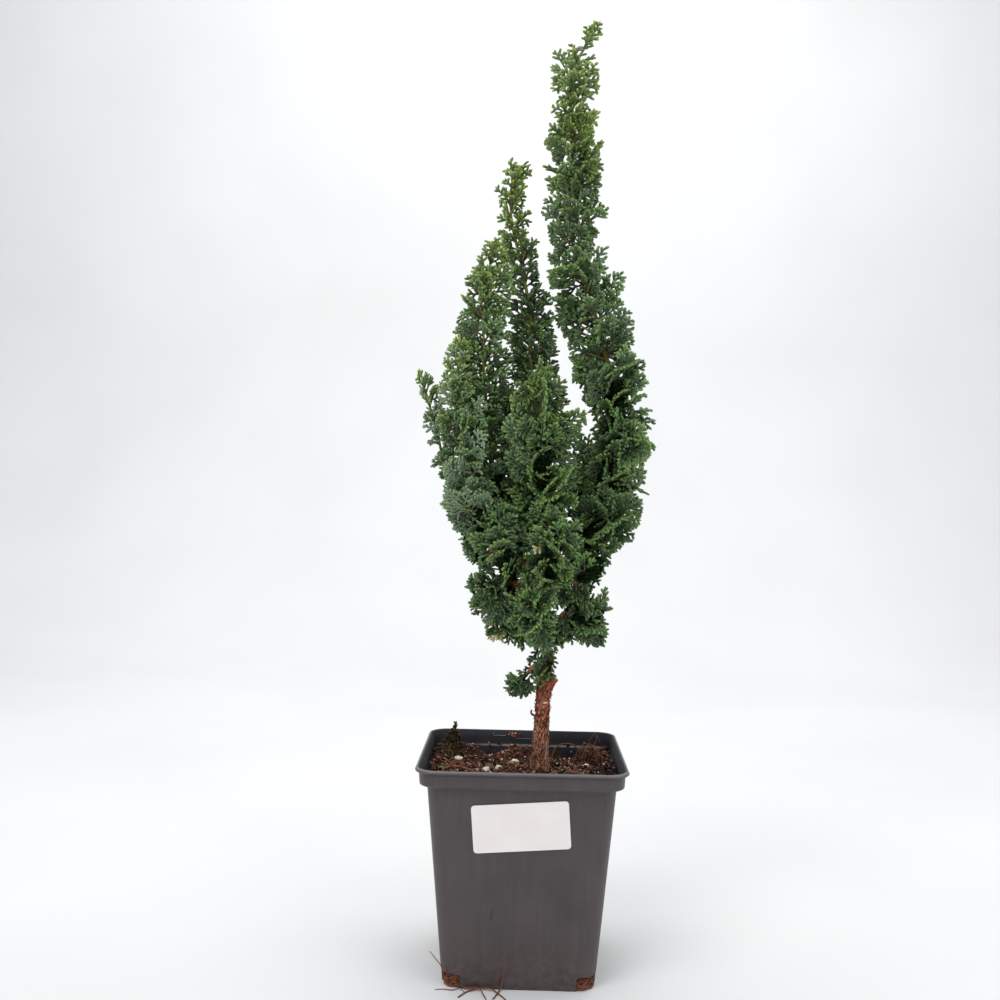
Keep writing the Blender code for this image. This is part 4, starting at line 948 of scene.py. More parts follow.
def leafy_stem(name, index):
    """The piece for one leafy stem: its inner stem, its branchlets and all its fronds."""
    branch, leafy = LEAFY_STEMS[name]
    draws = random.Random(4000 + 31 * index)
    rows = [(*p, 0.0) for p in branch[-1:]] + [tuple(p) for p in leafy]
    route = smooth_route(rows, 1.0)
    places, reaches = route[:, :3], route[:, 3]
    tangents, sides, ups = route_axes(places)
    steps = np.linalg.norm(np.diff(places, axis=0), axis=1)
    travelled = np.concatenate([[0.0], np.cumsum(steps)])
    total = travelled[-1]
    low_fresh, high_fresh = FRESH.get(name, (9000, 9001))
    glaucous = GLAUCOUS.get(name, USUAL_GLAUCOUS)
    fineness = FINENESS.get(name, USUAL_FINENESS)
    window = WINDOWS.get(name, (0, 0, 0))
    level = LEVEL_BELOW.get(name, 0)
    heap = Heap()

    share = travelled / total
    radius = (1.45 - 0.95 * share) * STEM_WIDTH.get(name, 1.0)
    stations = np.concatenate([places, radius[:, None]], axis=1)[::3]
    points, quads, caps = tube(stations, 7)
    ring_share = np.repeat(share[::3], 7)
    stem_tone = np.zeros((len(points), 4))
    stem_tone[: len(ring_share), 0] = np.clip((ring_share - 0.1) * 1.6, 0, 1)
    stem_tone[:, 1] = draws.uniform(0.3, 0.7)
    heap.add(points, quads, caps, stem_tone, slot=1)
    painted_shade_core(heap, route, CORE_SHARE, draws, CORE_TOP.get(name, 9000))

    keys = ("foot", "tip", "bend", "up", "wide", "deep", "fresh", "tone", "pale", "dead")
    parts = {key: [] for key in keys}

    def add_frond(root, ahead, across, length, reach, tone, waxy, dead=0.0):
        foot, tip, bend, up, level = frond_arrays(
            ahead, across, length / fineness, draws.uniform(0.1, 0.45), draws.uniform(-0.04, 0.2), draws
        )
        foot, tip, bend = root + foot * fineness, root + tip * fineness, bend * fineness
        count = len(foot)
        scale = fineness * min(1.0, 0.8 + reach / 80)
        wide = np.array([draws.uniform(0.88, 1.10) for _ in range(count)])
        parts["foot"].append(foot)
        parts["tip"].append(tip)
        parts["bend"].append(bend)
        parts["up"].append(up)
        parts["wide"].append(scale * wide * (1 - 0.14 * (level == 0)))
        parts["deep"].append(scale * np.array([draws.uniform(0.70, 0.88) for _ in range(count)]))
        fresh = np.clip((tip[:, 2] - low_fresh) / (high_fresh - low_fresh), 0, 1)
        fresh = fresh * draws.uniform(0.45, 1.1) + draws.uniform(-0.02, 0.09) + 0.3 * (draws.random() < 0.12)
        parts["fresh"].append(np.clip(fresh, 0, 1))
        uneven = np.array([draws.gauss(0, 0.2) for _ in range(count)])
        parts["tone"].append(np.clip(tone + uneven, 0, 1))
        parts["pale"].append(np.full(count, waxy))
        parts["dead"].append(np.full(count, dead))

    def add_branchlet(place, ahead, across, length, stalk, reach, young):
        fronds, twig = branchlet(place, ahead, across, length, stalk, draws)
        tone, waxy = draws.uniform(0.05, 0.95), glaucous * draws.uniform(0.3, 1.3)
        for root, way, side, size in fronds:
            outer = np.linalg.norm(root - place) / length - 0.3
            shade = tone + draws.uniform(-0.15, 0.15) + 0.3 * outer
            dead = draws.uniform(0.3, 0.8) * (draws.random() < 0.002 and outer < 0.2)
            add_frond(root, way, side, size, reach, shade, waxy, dead)
        rows = [(*spot, 0.62 - 0.08 * k) for k, spot in enumerate(twig)]
        twig_points, twig_quads, twig_caps = tube(rows, TWIG_SIDES)
        heap.add(twig_points, twig_quads, twig_caps, (young, draws.random(), 0, 0), slot=1)

    start = np.argmax(reaches >= leafy[0][3] * 0.9) + 1
    at = travelled[start]
    turn = draws.uniform(0, 6.28)
    while at < total:
        i = int(np.searchsorted(travelled, at))
        reach = reaches[i]
        turn += GOLDEN_ANGLE + draws.uniform(-0.3, 0.3)
        step = (SPACING[0] + SPACING[1] * reach) * WIDER_SPACING.get(name, 1.0)
        if reach > TIER_REACH and (at / TIER + turn / (2 * math.pi)) % 1 < TIER_GAP:
            at += 0.4 * step
            continue
        radial = sides[i] * math.cos(turn) + ups[i] * math.sin(turn)
        near_top = max(0.0, 1 - (total - at) / 40)
        rise = math.radians(draws.uniform(24, 46) + 16 * near_top)
        stalk = 1.2
        if window[0] < places[i, 2] < window[1]:
            radial[1] *= 0.3
            radial -= tangents[i] * radial.dot(tangents[i])
            radial /= np.linalg.norm(radial)
            stalk = window[2]
        if places[i, 2] < level and draws.random() < 0.28:
            radial = np.array((1.0, draws.gauss(0, 0.5), 0.0))
            radial -= tangents[i] * radial.dot(tangents[i])
            radial /= np.linalg.norm(radial)
        if places[i, 2] < level and radial[0] > 0.5:
            rise = math.radians(draws.uniform(-10, 26))
        ahead = radial * math.cos(rise) + tangents[i] * math.sin(rise)
        length = reach * draws.uniform(0.88, 1.1) / max(math.cos(rise), 0.55)
        length = max(2.6, fitted(name, length, places[i], ahead, draws))
        flat = np.cross(tangents[i], radial)
        above = np.cross(ahead, flat)
        roll = facing_roll(radial, draws)
        across = flat * math.cos(roll) + above * math.sin(roll)
        add_branchlet(places[i], ahead, across, length, stalk, reach, min(1.0, 0.25 + 0.9 * share[i]))
        at += step * (1 + TOP_SPACING.get(name, 0.3) * near_top)
    if name in HANGING:
        for place, ahead, length in hanging_branchlets(name, draws):
            length = fitted(name, length, place, ahead, draws)
            across = np.cross(ahead, (draws.gauss(0, 1), draws.gauss(0, 1), 0.2))
            across /= np.linalg.norm(across)
            add_branchlet(place, ahead, across, length, 0.8, 12.0, 0.2)
    for root, way, length, *rest in SPRIGS.get(name, ()):
        ahead = np.array(way) / np.linalg.norm(way)
        across = np.cross(ahead, (0.3 * draws.gauss(0, 1), 1.0, 0.3 * draws.gauss(0, 1)))
        across /= np.linalg.norm(across)
        tone = draws.uniform(-0.15, 0.35)
        add_frond(np.array(root, dtype=float), ahead, across, length, 6.0, tone, 0.06, *rest)
    stretch = TOP_FRONDS.get(name, 1.0)
    for k in range(3):
        yaw = (0.0, 0.5, -0.5)[k]
        way, flat = turned(tangents[-1], sides[-1], yaw, draws.uniform(-1, 1), 0.0)
        size = leafy[-1][3] * (1.3 * stretch, min(stretch, 1.0), 0.9 * min(stretch, 1.0))[k]
        if name not in EDGES:
            size = fitted(name, size, places[-1], way, draws)
        add_frond(places[-1], way, flat, size, 8.0, 0.7, 0.0)

    foot, tip, bend, up, half_width, half_depth, fresh, tone, pale, dead = (
        np.concatenate(group) for group in parts.values()
    )
    points, quads, caps, along, under, sideways = shoots_mesh(foot, tip, bend, up, half_width, half_depth)
    size = len(along)
    colours = np.empty((len(foot), size, 4))
    colours[:, :, 0] = fresh[:, None] * (0.35 + 0.65 * along[None])
    colours[:, :, 1] = tone[:, None]
    colours[:, :, 2] = np.clip(pale[:, None] * (0.25 + under[None]), 0, 1)
    colours[:, :, 3] = along[None]
    long = np.linalg.norm(tip - foot, axis=1)
    scales = np.zeros((len(foot), size, 4))
    scales[:, :, 0] = 0.1 * long[:, None] * along[None]
    scales[:, :, 1] = sideways[None]
    scales[:, :, 2] = dead[:, None]
    heap.add(points, quads, caps, colours.reshape(-1, 4), scales=scales.reshape(-1, 4))
    return heap, len(foot)


def build_foliage():
    leaf, bark, shade = foliage_material(), twig_material(), shade_material()
    shown = 0
    triangles = 0
    for index, name in enumerate(LEAFY_STEMS):
        heap, count = leafy_stem(name, index)
        mesh = heap.mesh(name + "_sprays")
        obj = piece(name + "_sprays", mesh, leaf, bark, shade)
        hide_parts(name)
        shown += count
        triangles += sum(len(p.vertices) - 2 for p in mesh.polygons)
    print("foliage shoots", shown, "triangles", triangles)


# Trunk


# The skin's share of the trunk's radius, so that flakes and ridges end where the bark should
BARK_SHARE = 0.93


def bark_relief(stations, sides, depth, seed):
    """How far the bark stands out at each point of a tube: long plates with fine edges."""
    relief = np.ones((len(stations), sides))
    for i, (x, y, z, radius) in enumerate(stations):
        for k in range(sides):
            angle = 2 * math.pi * k / sides
            spot = Vector((radius * math.cos(angle) * 0.5, radius * math.sin(angle) * 0.5, z * 0.55 + seed))
            plates = noise.noise(spot)
            fine = noise.noise(spot * 3.1)
            relief[i, k] = BARK_SHARE + depth * (plates + 0.5 * fine + 0.35 * abs(plates) ** 0.5) / radius
    return relief


def bark_flakes(heap, route, draws, count):
    """Thin scraps of bark that lift off the trunk at one end, palest halfway up, where their paleness is partly a
    painted highlight.
    """
    tangents, sides, ups = route_axes(route[:, :3])
    for _ in range(count):
        i = draws.randrange(2, len(route) - 6)
        angle = draws.uniform(0, 2 * math.pi)
        radius = route[i, 3]
        out = sides[i] * math.cos(angle) + ups[i] * math.sin(angle)
        flat = np.cross(tangents[i], out)
        long = draws.uniform(1.0, 3.6)
        wide = draws.uniform(0.25, 0.75)
        lift = draws.uniform(0.15, 1.0)
        lean = draws.uniform(-0.7, 0.7)
        way = tangents[i] * draws.choice((-1, 1))
        middle = max(0.0, 1 - abs(route[i, 2] - 131) / 20)
        points = []
        rows = 4
        for r in range(rows):
            t = r / (rows - 1)
            mid = route[i, :3] + way * long * t + flat * lean * long * t
            mid = mid + out * (radius * 0.93 + 0.1 + lift * t * t)
            half = wide * (1 - 0.6 * t * t)
            for side in (-1, 1):
                for skin in (0.13, -0.13):
                    curl = 0.25 * abs(side) * t
                    points.append(mid + flat * side * half + out * (skin - curl * 0.4))
        quads = []
        for r in range(rows - 1):
            a, b = 4 * r, 4 * r + 4
            quads += [
                (a, b, b + 2, a + 2),
                (a + 1, a + 3, b + 3, b + 1),
                (a, a + 1, b + 1, b),
                (a + 2, b + 2, b + 3, a + 3),
            ]
        quads += [(0, 2, 3, 1), (4 * rows - 4, 4 * rows - 3, 4 * rows - 1, 4 * rows - 2)]
        shade = draws.random() ** 2.2 * (0.3 + 0.7 * middle)
        dark = draws.random() < 0.28
        aged = min(max((124 - route[i, 2]) / 8, 0.0), 1.0)
        heap.add(np.array(points), quads, [], (0.95 * dark, shade * (not dark), 0, aged))


def trunk_fibres(heap, route, draws, count):
    """Pale strings of old bark that hang along the trunk's foot."""
    tangents, sides, ups = route_axes(route[:, :3])
    for _ in range(count):
        i = draws.randrange(0, len(route) // 2)
        steps = draws.randrange(6, 16)
        angle = draws.uniform(0, 2 * math.pi)
        drift = draws.uniform(-0.05, 0.05)
        rows = []
        for k in range(i, min(i + steps, len(route))):
            out = sides[k] * math.cos(angle) + ups[k] * math.sin(angle)
            rows.append((*(route[k, :3] + out * (route[k, 3] * 0.95 + draws.uniform(0.05, 0.5))), 0.15))
            angle += drift + draws.uniform(-0.06, 0.06)
        points, quads, caps = tube(rows, 4)
        heap.add(points, quads, caps, (0, draws.uniform(0.5, 0.9), 0, 0))


def build_trunk():
    draws = random.Random(77)
    heap = Heap()
    route = smooth_route(TRUNK, 0.8)
    sides = 44
    relief = bark_relief(route, sides, 0.75, 3.0)
    points, quads, caps = tube(route, sides, relief)
    colours = np.zeros((len(points), 4))
    height = points[:, 2]
    colours[:, 0] = np.clip((112 - height) / 10, 0, 1) * 0.25 + np.clip((height - 163) / 30, 0, 1) * 0.45
    colours[:, 2] = np.clip((height - 142) / 6, 0, 1)
    colours[:, 3] = np.clip((121 - height) / 6, 0, 1)
    heap.add(points, quads, caps, colours)
    bark_flakes(heap, smooth_route(TRUNK[2:11], 0.8), draws, 640)
    trunk_fibres(heap, smooth_route(TRUNK[3:8], 1.0), draws, 44)
    scar = ((10.8, -0.75, 142.0, 0.25), (11.7, -1.0, 141.8, 0.6), (12.7, -0.9, 141.9, 0.55), (13.3, -0.7, 142.2, 0.25))
    heap.add(*tube(np.array(scar), 7), (0, 0, 0, 0), slot=1)
    for index, (rows, steps, depth) in enumerate(((CUT_STUB, 0.5, 0.5), (HOOKED_TWIG, 0.5, 0.2))):
        side_route = smooth_route(rows, steps)
        side_relief = bark_relief(side_route, 20, depth, 40.0 + 9 * index)
        points, quads, caps = tube(side_route, 20, side_relief)
        tone = np.zeros((len(points), 4))
        tone[:, 0] = 0.95 * index
        if index == 0:
            tone[:, 2] = 0.8
            tone[-1, :2] = (0.0, 0.6)
            tone[-22:-2, :2] = (0.0, 0.35)
        heap.add(points, quads, caps, tone)
    for index, (name, (branch, leafy)) in enumerate(LEAFY_STEMS.items()):
        rows = [(*p, 0.0) for p in branch] + [(*p[:3], 0.0) for p in leafy[:2]]
        whole = smooth_route(rows, 1.2)
        foot = np.array(leafy[0][:3], dtype=float)
        cut = int(np.argmin(np.linalg.norm(whole[:, :3] - foot, axis=1)))
        bare = whole[: cut + 1].copy()
        bare[:, 3] = np.linspace(2.2, 1.4, cut + 1)
        relief = bark_relief(bare, 16, 0.3, 60.0 + 7 * index)
        points, quads, caps = tube(bare, 16, relief)
        tone = np.zeros((len(points), 4))
        tone[:, 0] = 0.25
        tone[:, 1] = draws.uniform(0, 0.2)
        heap.add(points, quads, caps, tone)
    cut_wood = speckled_material("cut_wood", (0.74, 0.55, 0.30), (0.98, 0.90, 0.66), 900, 0.7, 0.3)
    trunk = piece("trunk_bark_skin", heap.mesh("trunk_bark_skin"), bark_material(), cut_wood)
    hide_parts("trunk")


# Pot, soil and what lies on it


def wall_half(z):
    return POT_FOOT_HALF + z * POT_TAPER


def square_ring(half, corner, z, corner_steps=14, side_steps=10):
    """A rounded square ring in mm with points along its straight sides too."""
    ring = []
    flat = half - corner
    for quarter in range(4):
        turn = quarter * math.pi / 2
        c, s = math.cos(turn), math.sin(turn)
        spots = [(half, -flat + 2 * flat * k / side_steps) for k in range(side_steps)]
        for k in range(corner_steps):
            angle = k * math.pi / 2 / corner_steps
            spots.append((flat + corner * math.cos(angle), flat + corner * math.sin(angle)))
        ring += [(x * c - y * s, x * s + y * c, z) for x, y in spots]
    return ring


def rim_curve():
    """(half width, corner, height) round the rolled rim, from the collar outside to the collar inside."""
    middle_half = RIM_HALF - 1.05
    middle_z = POT_HEIGHT - 1.05
    rows = []
    for k in range(13):
        angle = math.radians(-75 + 255 * k / 12)
        rows.append((middle_half + 1.05 * math.cos(angle), RIM_CORNER, middle_z + 1.05 * math.sin(angle)))
    return rows


def build_pot():
    inner = COLLAR_HALF - POT_WALL
    inner_corner = RIM_CORNER - POT_WALL
    ledge = COLLAR_BOTTOM + POT_WALL
    rows = [(wall_half(0) - 0.8, BODY_CORNER - 0.8, 0.0)]
    rows += [(wall_half(0) - 0.25, BODY_CORNER - 0.25, 0.22), (wall_half(0), BODY_CORNER, 0.8)]
    for k in range(1, 13):
        z = 0.8 + (COLLAR_BOTTOM - 1.4 - 0.8) * k / 12
        rows.append((wall_half(z), BODY_CORNER, z))
    step_half = wall_half(COLLAR_BOTTOM)
    for k in range(7):
        angle = math.radians(-90 + 90 * k / 6)
        wide = COLLAR_HALF - 1.4 + 1.4 * math.cos(angle)
        if k == 0:
            rows.append((step_half, BODY_CORNER, COLLAR_BOTTOM - 0.35))
            rows.append((step_half + 0.3, BODY_CORNER, COLLAR_BOTTOM))
        rows.append((max(wide, step_half + 0.5), RIM_CORNER - 0.4, COLLAR_BOTTOM + 1.3 + 1.3 * math.sin(angle)))
    rows.append((COLLAR_HALF + 0.4, RIM_CORNER, POT_HEIGHT - 2.7))
    rows += rim_curve()
    rows += [
        (inner + 0.15, inner_corner, POT_HEIGHT - 2.6),
        (inner - 0.2, inner_corner, ledge + 1.0),
        (inner - 0.5, inner_corner, ledge + 0.25),
        (inner - 1.0, BODY_CORNER - 1.0, ledge),
        (wall_half(ledge) - POT_WALL + 0.25, BODY_CORNER - POT_WALL, ledge - 0.1),
        (wall_half(ledge) - POT_WALL, BODY_CORNER - POT_WALL, ledge - 0.6),
        (wall_half(SOIL_EDGE) - POT_WALL, BODY_CORNER - POT_WALL, SOIL_EDGE),
        (wall_half(POT_FLOOR) - POT_WALL, BODY_CORNER - POT_WALL, POT_FLOOR),
    ]
    bm = bmesh.new()
    rings = []
    for half, corner, z in rows:
        rings.append([bm.verts.new(Vector(p) * MM) for p in square_ring(half, corner, z)])
    count = len(rings[0])
    for low, high in zip(rings, rings[1:]):
        for k in range(count):
            after = (k + 1) % count
            bm.faces.new((low[k], low[after], high[after], high[k]))
    bm.faces.new(list(reversed(rings[0])))
    bm.faces.new(rings[-1])
    bmesh.ops.recalc_face_normals(bm, faces=bm.faces[:])
    mesh = bpy.data.meshes.new("pot_shell")
    bm.to_mesh(mesh)
    bm.free()
    pot = piece("pot_shell", mesh, pot_material(), pot_inside_material())
    cutters = [notch_cutter(quarter) for quarter in range(4)]
    for cutter in cutters:
        cut = pot.modifiers.new(cutter.name, "BOOLEAN")
        cut.object = cutter
        cut.solver = "EXACT"
    graph = bpy.context.evaluated_depsgraph_get()
    done = bpy.data.meshes.new_from_object(pot.evaluated_get(graph))
    pot.modifiers.clear()
    pot.data = done
    for cutter in cutters:
        bpy.data.objects.remove(cutter)
    done.shade_smooth()
    done.set_sharp_from_angle(angle=math.radians(35))
    # Faces that look into the pot get the inner plastic, painted dark as shade.
    for face in done.polygons:
        face.material_index = int(inside_pot(face.center / MM, face.normal))
    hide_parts("pot")


def inside_pot(spot, normal):
    """Whether a face of the pot's skin, at a spot in mm, looks inwards above the open corners, and so gets the
    painted-shade inner plastic.
    """
    inwards = normal.x * spot.x + normal.y * spot.y < 0
    on_ledge = normal.z > 0.5 and spot.z < POT_HEIGHT - 3
    return spot.z > 12 and (inwards or on_ledge)


def notch_cutter(quarter):
    """The block that opens one bottom corner, with its upper edges rounded."""
    bm = bmesh.new()
    bmesh.ops.create_cube(bm, size=1.0)
    inner, outer = (wall_half(7.0) - 10.5) * MM, RIM_HALF * MM
    for vert in bm.verts:
        x = outer if vert.co.x > 0 else inner
        y = outer if vert.co.y > 0 else inner
        top = (7.0 + 2.0 * ((vert.co.x > 0) + (vert.co.y > 0)) / 2) * MM
        vert.co = (x, y, top if vert.co.z > 0 else -2 * MM)
    upper = [e for e in bm.edges if all(v.co.z > 0 for v in e.verts)]
    inward = [e for e in upper if any(v.co.x < outer and v.co.y < outer for v in e.verts)]
    bmesh.ops.bevel(bm, geom=inward, offset=1.2 * MM, segments=5, affect="EDGES", profile=0.5)
    mesh = bpy.data.meshes.new(f"notch_{quarter}")
    bm.to_mesh(mesh)
    bm.free()
    cutter = link(bpy.data.objects.new(f"notch_{quarter}", mesh))
    cutter.rotation_euler.z = quarter * math.pi / 2
    return cutter


def soil_height(x, y):
    """The soil's surface in mm: falling to the back, in low heaps and clods."""
    slope = SOIL_FRONT + (SOIL_BACK - SOIL_FRONT) * (y + RIM_HALF) / (2 * RIM_HALF)
    heaps = 0.9 * math.sin(x / 6.1 + 1.3) * math.sin(y / 5.3 + 0.4)
    clods = 0.75 * math.sin(x / 2.7 + y / 3.9) * math.sin(y / 2.3 - x / 4.3)
    return slope + heaps + clods


# Heaps and hollows of the soil: x, y, half width, height in mm
MOUNDS = (
    (-28, 36, 5.5, 7.5), (-5, 37, 6.5, 7.5), (4, 37, 4.5, 6.0), (-14, 38, 4.0, 3.0), (-42, 32, 6.0, 4.0),
    (-44, -22, 7.0, 2.2), (44, -22, 7.0, 2.2), (-45, 2, 5.0, 1.5), (43, 27, 5.5, 5.5), (38, 37, 4.5, 4.5), (44, 12, 5.0, 2.0), (25, 33, 9.0, -4.0), (-18, 18, 7.0, -1.5),
    (-30, 20, 6.0, -2.0), (-36, 2, 7.0, 1.2), (-8, -2, 6.0, 1.2), (33, 4, 7.0, 1.2),
)


def soil_top(x, y):
    fine = noise.noise(Vector((x * 0.55, y * 0.55, 4.0))) + 0.6 * noise.noise(Vector((x * 1.4, y * 1.4, 9.0)))
    heaped = sum(
        tall * math.exp(-((x - mx) ** 2 + (y - my) ** 2) / (2 * (0.6 * wide) ** 2)) for mx, my, wide, tall in MOUNDS
    )
    return soil_height(x, y) + 1.1 * fine + heaped


def build_soil():
    """The root ball: its sides inside the pot, and a rough top made in rings round the trunk."""
    corner = BODY_CORNER - POT_WALL - GAP
    outer = wall_half(SOIL_EDGE) - POT_WALL - GAP
    rows = []
    for z in (POT_FLOOR + GAP, 6.0, 12.0, 40.0, 70.0, SOIL_EDGE - 2, SOIL_EDGE):
        half = wall_half(z) - POT_WALL - GAP
        rows.append([(x, y, z) for x, y, _ in square_ring(half, corner, z, 10, 24)])
    edge = rows[-1]
    centre = np.array((9.9, 5.0))
    shares = np.linspace(0.992, 0.045, 52)
    for share in shares:
        ring = []
        for x, y, _ in edge:
            px, py = centre + (np.array((x, y)) - centre) * share
            blend = min(1.0, (1 - share) / 0.012)
            ring.append((px, py, SOIL_EDGE + (soil_top(px, py) - SOIL_EDGE) * blend))
        rows.append(ring)
    count = len(edge)
    points = np.array(rows).reshape(-1, 3)
    points = np.concatenate([points, [(centre[0], centre[1], soil_top(*centre))], [(0, 0, POT_FLOOR + GAP)]])
    low = np.arange((len(rows) - 1) * count).reshape(-1, count)
    after = np.roll(low, -1, axis=1)
    quads = np.stack([low, after, after + count, low + count], axis=-1).reshape(-1, 4)
    k = np.arange(count)
    last = (len(rows) - 1) * count
    top = np.stack([last + k, last + (k + 1) % count, np.full(count, len(points) - 2)], axis=-1)
    foot = np.stack([(k + 1) % count, k, np.full(count, len(points) - 1)], axis=-1)
    mesh = mesh_from("soil_bed", points * MM, [quads, np.concatenate([top, foot])])
    peat = speckled_material("peat_crumb", (0.006, 0.0025, 0.002), (0.085, 0.029, 0.019), 700, depth=1.2)
    bed = piece("soil_bed", mesh, peat)
    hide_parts("soil")


def lump(draws, size, flatness=0.6, detail=1):
    """Points and triangles of one small irregular lump, in mm."""
    bm = bmesh.new()
    bmesh.ops.create_icosphere(bm, subdivisions=detail, radius=1.0)
    stretch = [draws.uniform(0.7, 1.3), draws.uniform(0.7, 1.3), flatness * draws.uniform(0.8, 1.2)]
    turn = Matrix.Rotation(draws.uniform(0, 6.28), 3, "Z") @ Matrix.Rotation(draws.uniform(-0.6, 0.6), 3, "X")
    for vert in bm.verts:
        spot = Vector(c * s for c, s in zip(vert.co, stretch)) * draws.uniform(0.75, 1.15)
        vert.co = turn @ spot * size
    points = np.array([v.co[:] for v in bm.verts])
    triangles = np.array([[v.index for v in f.verts] for f in bm.faces])
    bm.free()
    return points, triangles


def on_soil(draws, margin=2.5):
    """A random spot on the soil's top, clear of the wall and of the trunk."""
    half = wall_half(SOIL_EDGE) - POT_WALL - margin
    while True:
        x, y = draws.uniform(-half, half), draws.uniform(-half, half)
        if math.hypot(x - 9.9, y - 5.0) > 6.0 and abs(x) + abs(y) < 2 * half - 4:
            return x, y


def scatter_lumps(name, count, sizes, surface, seed, flatness=0.6, spots=(), lift=0.3, detail=1, darkening=1.0):
    """Many small lumps lying on the soil, as one piece; the higher the darkening, the fewer are light."""
    draws = random.Random(seed)
    heap = Heap()
    for k in range(count + len(spots)):
        size = draws.uniform(*sizes)
        if k < len(spots):
            x, y, size = spots[k]
        else:
            x, y = on_soil(draws)
        points, triangles = lump(draws, size, flatness, detail)
        points = points + np.array((x, y, soil_top(x, y) + size * lift))
        heap.add(points, [], triangles, (0, draws.random() ** darkening, 0, 0))
    obj = piece(name, heap.mesh(name, smooth=False), surface)
    return obj


def fibre(draws, start, heading, length, radius, rise, wander, floor=None, steps=9):
    """Stations of one thin root that wanders and stays above the soil."""
    spot = np.array(start, dtype=float)
    stations = []
    for k in range(steps):
        t = k / (steps - 1)
        height = spot[2] + rise * math.sin(math.pi * t)
        if floor:
            height = max(height, floor(spot[0], spot[1]) + radius * 0.6)
        stations.append((spot[0], spot[1], height, radius * (1 - 0.45 * t)))
        heading += draws.uniform(-wander, wander)
        spot[:2] += length / (steps - 1) * np.array((math.cos(heading), math.sin(heading)))
        if floor:
            half = wall_half(SOIL_EDGE) - POT_WALL - 1.0
            spot[:2] = np.clip(spot[:2], -half, half)
            spot[2] = floor(spot[0], spot[1]) + radius * 0.3
    return stations


# Tangles of fine roots: x, y, half width, count of roots and how high they rise, in mm
TANGLES = ((41, 30, 7.0, 50, 8.0), (-41, 34, 7.5, 54, 7.0), (-44, 12, 4.0, 20, 3.5), (20, 36, 9.0, 14, 3.0))


def build_fibres():
    """Fine roots and peat fibres all over the soil, in tangles in the back corners, and short straws."""
    draws = random.Random(314)
    heap = Heap()
    spots = [(*on_soil(draws, 2.0), draws.uniform(3, 10), draws.uniform(0.1, 1.6)) for _ in range(170)]
    for x, y, wide, count, rise in TANGLES:
        for _ in range(count):
            spot = (x + draws.gauss(0, wide * 0.45), y + draws.gauss(0, wide * 0.45))
            spots.append((*spot, draws.uniform(5, 13), draws.uniform(0.3, rise)))
    for index, (x, y, length, rise) in enumerate(spots):
        half = wall_half(SOIL_EDGE) - POT_WALL - 1.5
        x, y = min(max(x, -half), half), min(max(y, -half), half)
        radius = draws.uniform(0.09, 0.24)
        start = (x, y, soil_top(x, y))
        stations = fibre(draws, start, draws.uniform(0, 6.28), length, radius, rise, 0.55, soil_top)
        points, quads, caps = tube(stations, 4)
        heap.add(points, quads, caps, (0, draws.random() ** (1.6 if index < 170 else 2.2), 0, 0))
    for _ in range(420):
        x, y = on_soil(draws, 1.5)
        turn, length = draws.uniform(0, 6.28), draws.uniform(0.9, 3.4)
        foot = np.array((x, y, soil_top(x, y) + 0.35))
        way = np.array((math.cos(turn), math.sin(turn), draws.uniform(-0.1, 0.6)))
        wide = draws.uniform(0.13, 0.34)
        rows = [(*foot, wide), (*(foot + way * length * 0.5), wide), (*(foot + way * length), wide * 0.5)]
        points, quads, caps = tube(rows, 4)
        heap.add(points, quads, caps, (0, 0.3 + 0.7 * draws.random(), 0, 0))
    surface = toned_material("root_fibre", (0.030, 0.010, 0.006), (0.52, 0.27, 0.14), 900)
    obj = piece("root_fibres", heap.mesh("root_fibres"), surface)
    return surface


ROOT_ARCS = (
    ((-44.5, -12, 104.0, 0.4), (-42.3, -9.7, 106.4, 0.6), (-37.1, -9.5, 107.8, 0.7), (-31.2, -12.6, 107.8, 0.7),
     (-24.5, -16.9, 106.2, 0.62), (-20, -22, 103.8, 0.4)),
    ((-42.5, -4, 104.0, 0.25), (-39.5, 0, 107.0, 0.3), (-35.5, 2, 108.6, 0.3), (-32, -2, 107.0, 0.28), (-30, -6, 104, 0.2)),
    ((17, 38, 101.0, 0.35), (19.5, 39, 108.3, 0.42), (24, 40, 110.8, 0.45), (30, 40, 110.4, 0.45), (34, 39, 106.5, 0.4),
     (36.5, 38, 101.5, 0.35)),
    ((35, 38, 102, 0.3), (37.0, 39, 107.5, 0.28), (39.2, 40, 112.8, 0.26), (42.6, 41, 117.4, 0.22), (43.6, 42, 116.2, 0.2),
     (45.4, 42, 113.4, 0.2), (45.9, 41, 112.0, 0.16)),
    ((35, 35, 103, 0.3), (36.5, 36, 107.5, 0.3), (39.5, 36, 110.2, 0.32), (43.3, 36, 110.6, 0.3), (45, 35, 107.5, 0.3),
     (44.5, 33, 103.5, 0.25)),
    ((38, 37, 106, 0.22), (39.6, 39, 110.5, 0.2), (38.6, 40, 114.2, 0.14)),
    ((43, 38, 104, 0.26), (42.0, 39, 109.5, 0.24), (43.8, 41, 114.2, 0.2), (43.0, 41, 117.0, 0.14)),
    ((18, -20, 104.6, 0.4), (26, -24, 106.8, 0.5), (35, -22, 107.0, 0.5), (44, -26, 105.0, 0.4)),
    ((-6, -28, 105.4, 0.4), (2, -33, 106.8, 0.45), (11, -31, 106.9, 0.45), (19, -36, 105.4, 0.35)),
    ((44.5, 6, 104, 0.22), (45.3, 12, 108.4, 0.22), (45.0, 18, 109.4, 0.2), (44, 24, 106, 0.2)),
)


def build_root_arcs(surface):
    """The thicker roots that stand out of the soil in arcs."""
    draws = random.Random(51)
    heap = Heap()
    for rows in ROOT_ARCS:
        points, quads, caps = tube(smooth_route(rows, 0.8), 9)
        heap.add(points, quads, caps, (0, draws.uniform(0.35, 0.8), 0, 0))
    obj = piece("surface_roots", heap.mesh("surface_roots"), surface)


# The root ball's rounding where its coiled roots show in the open bottom corners, in mm
NOTCH_ROUND = 7.9

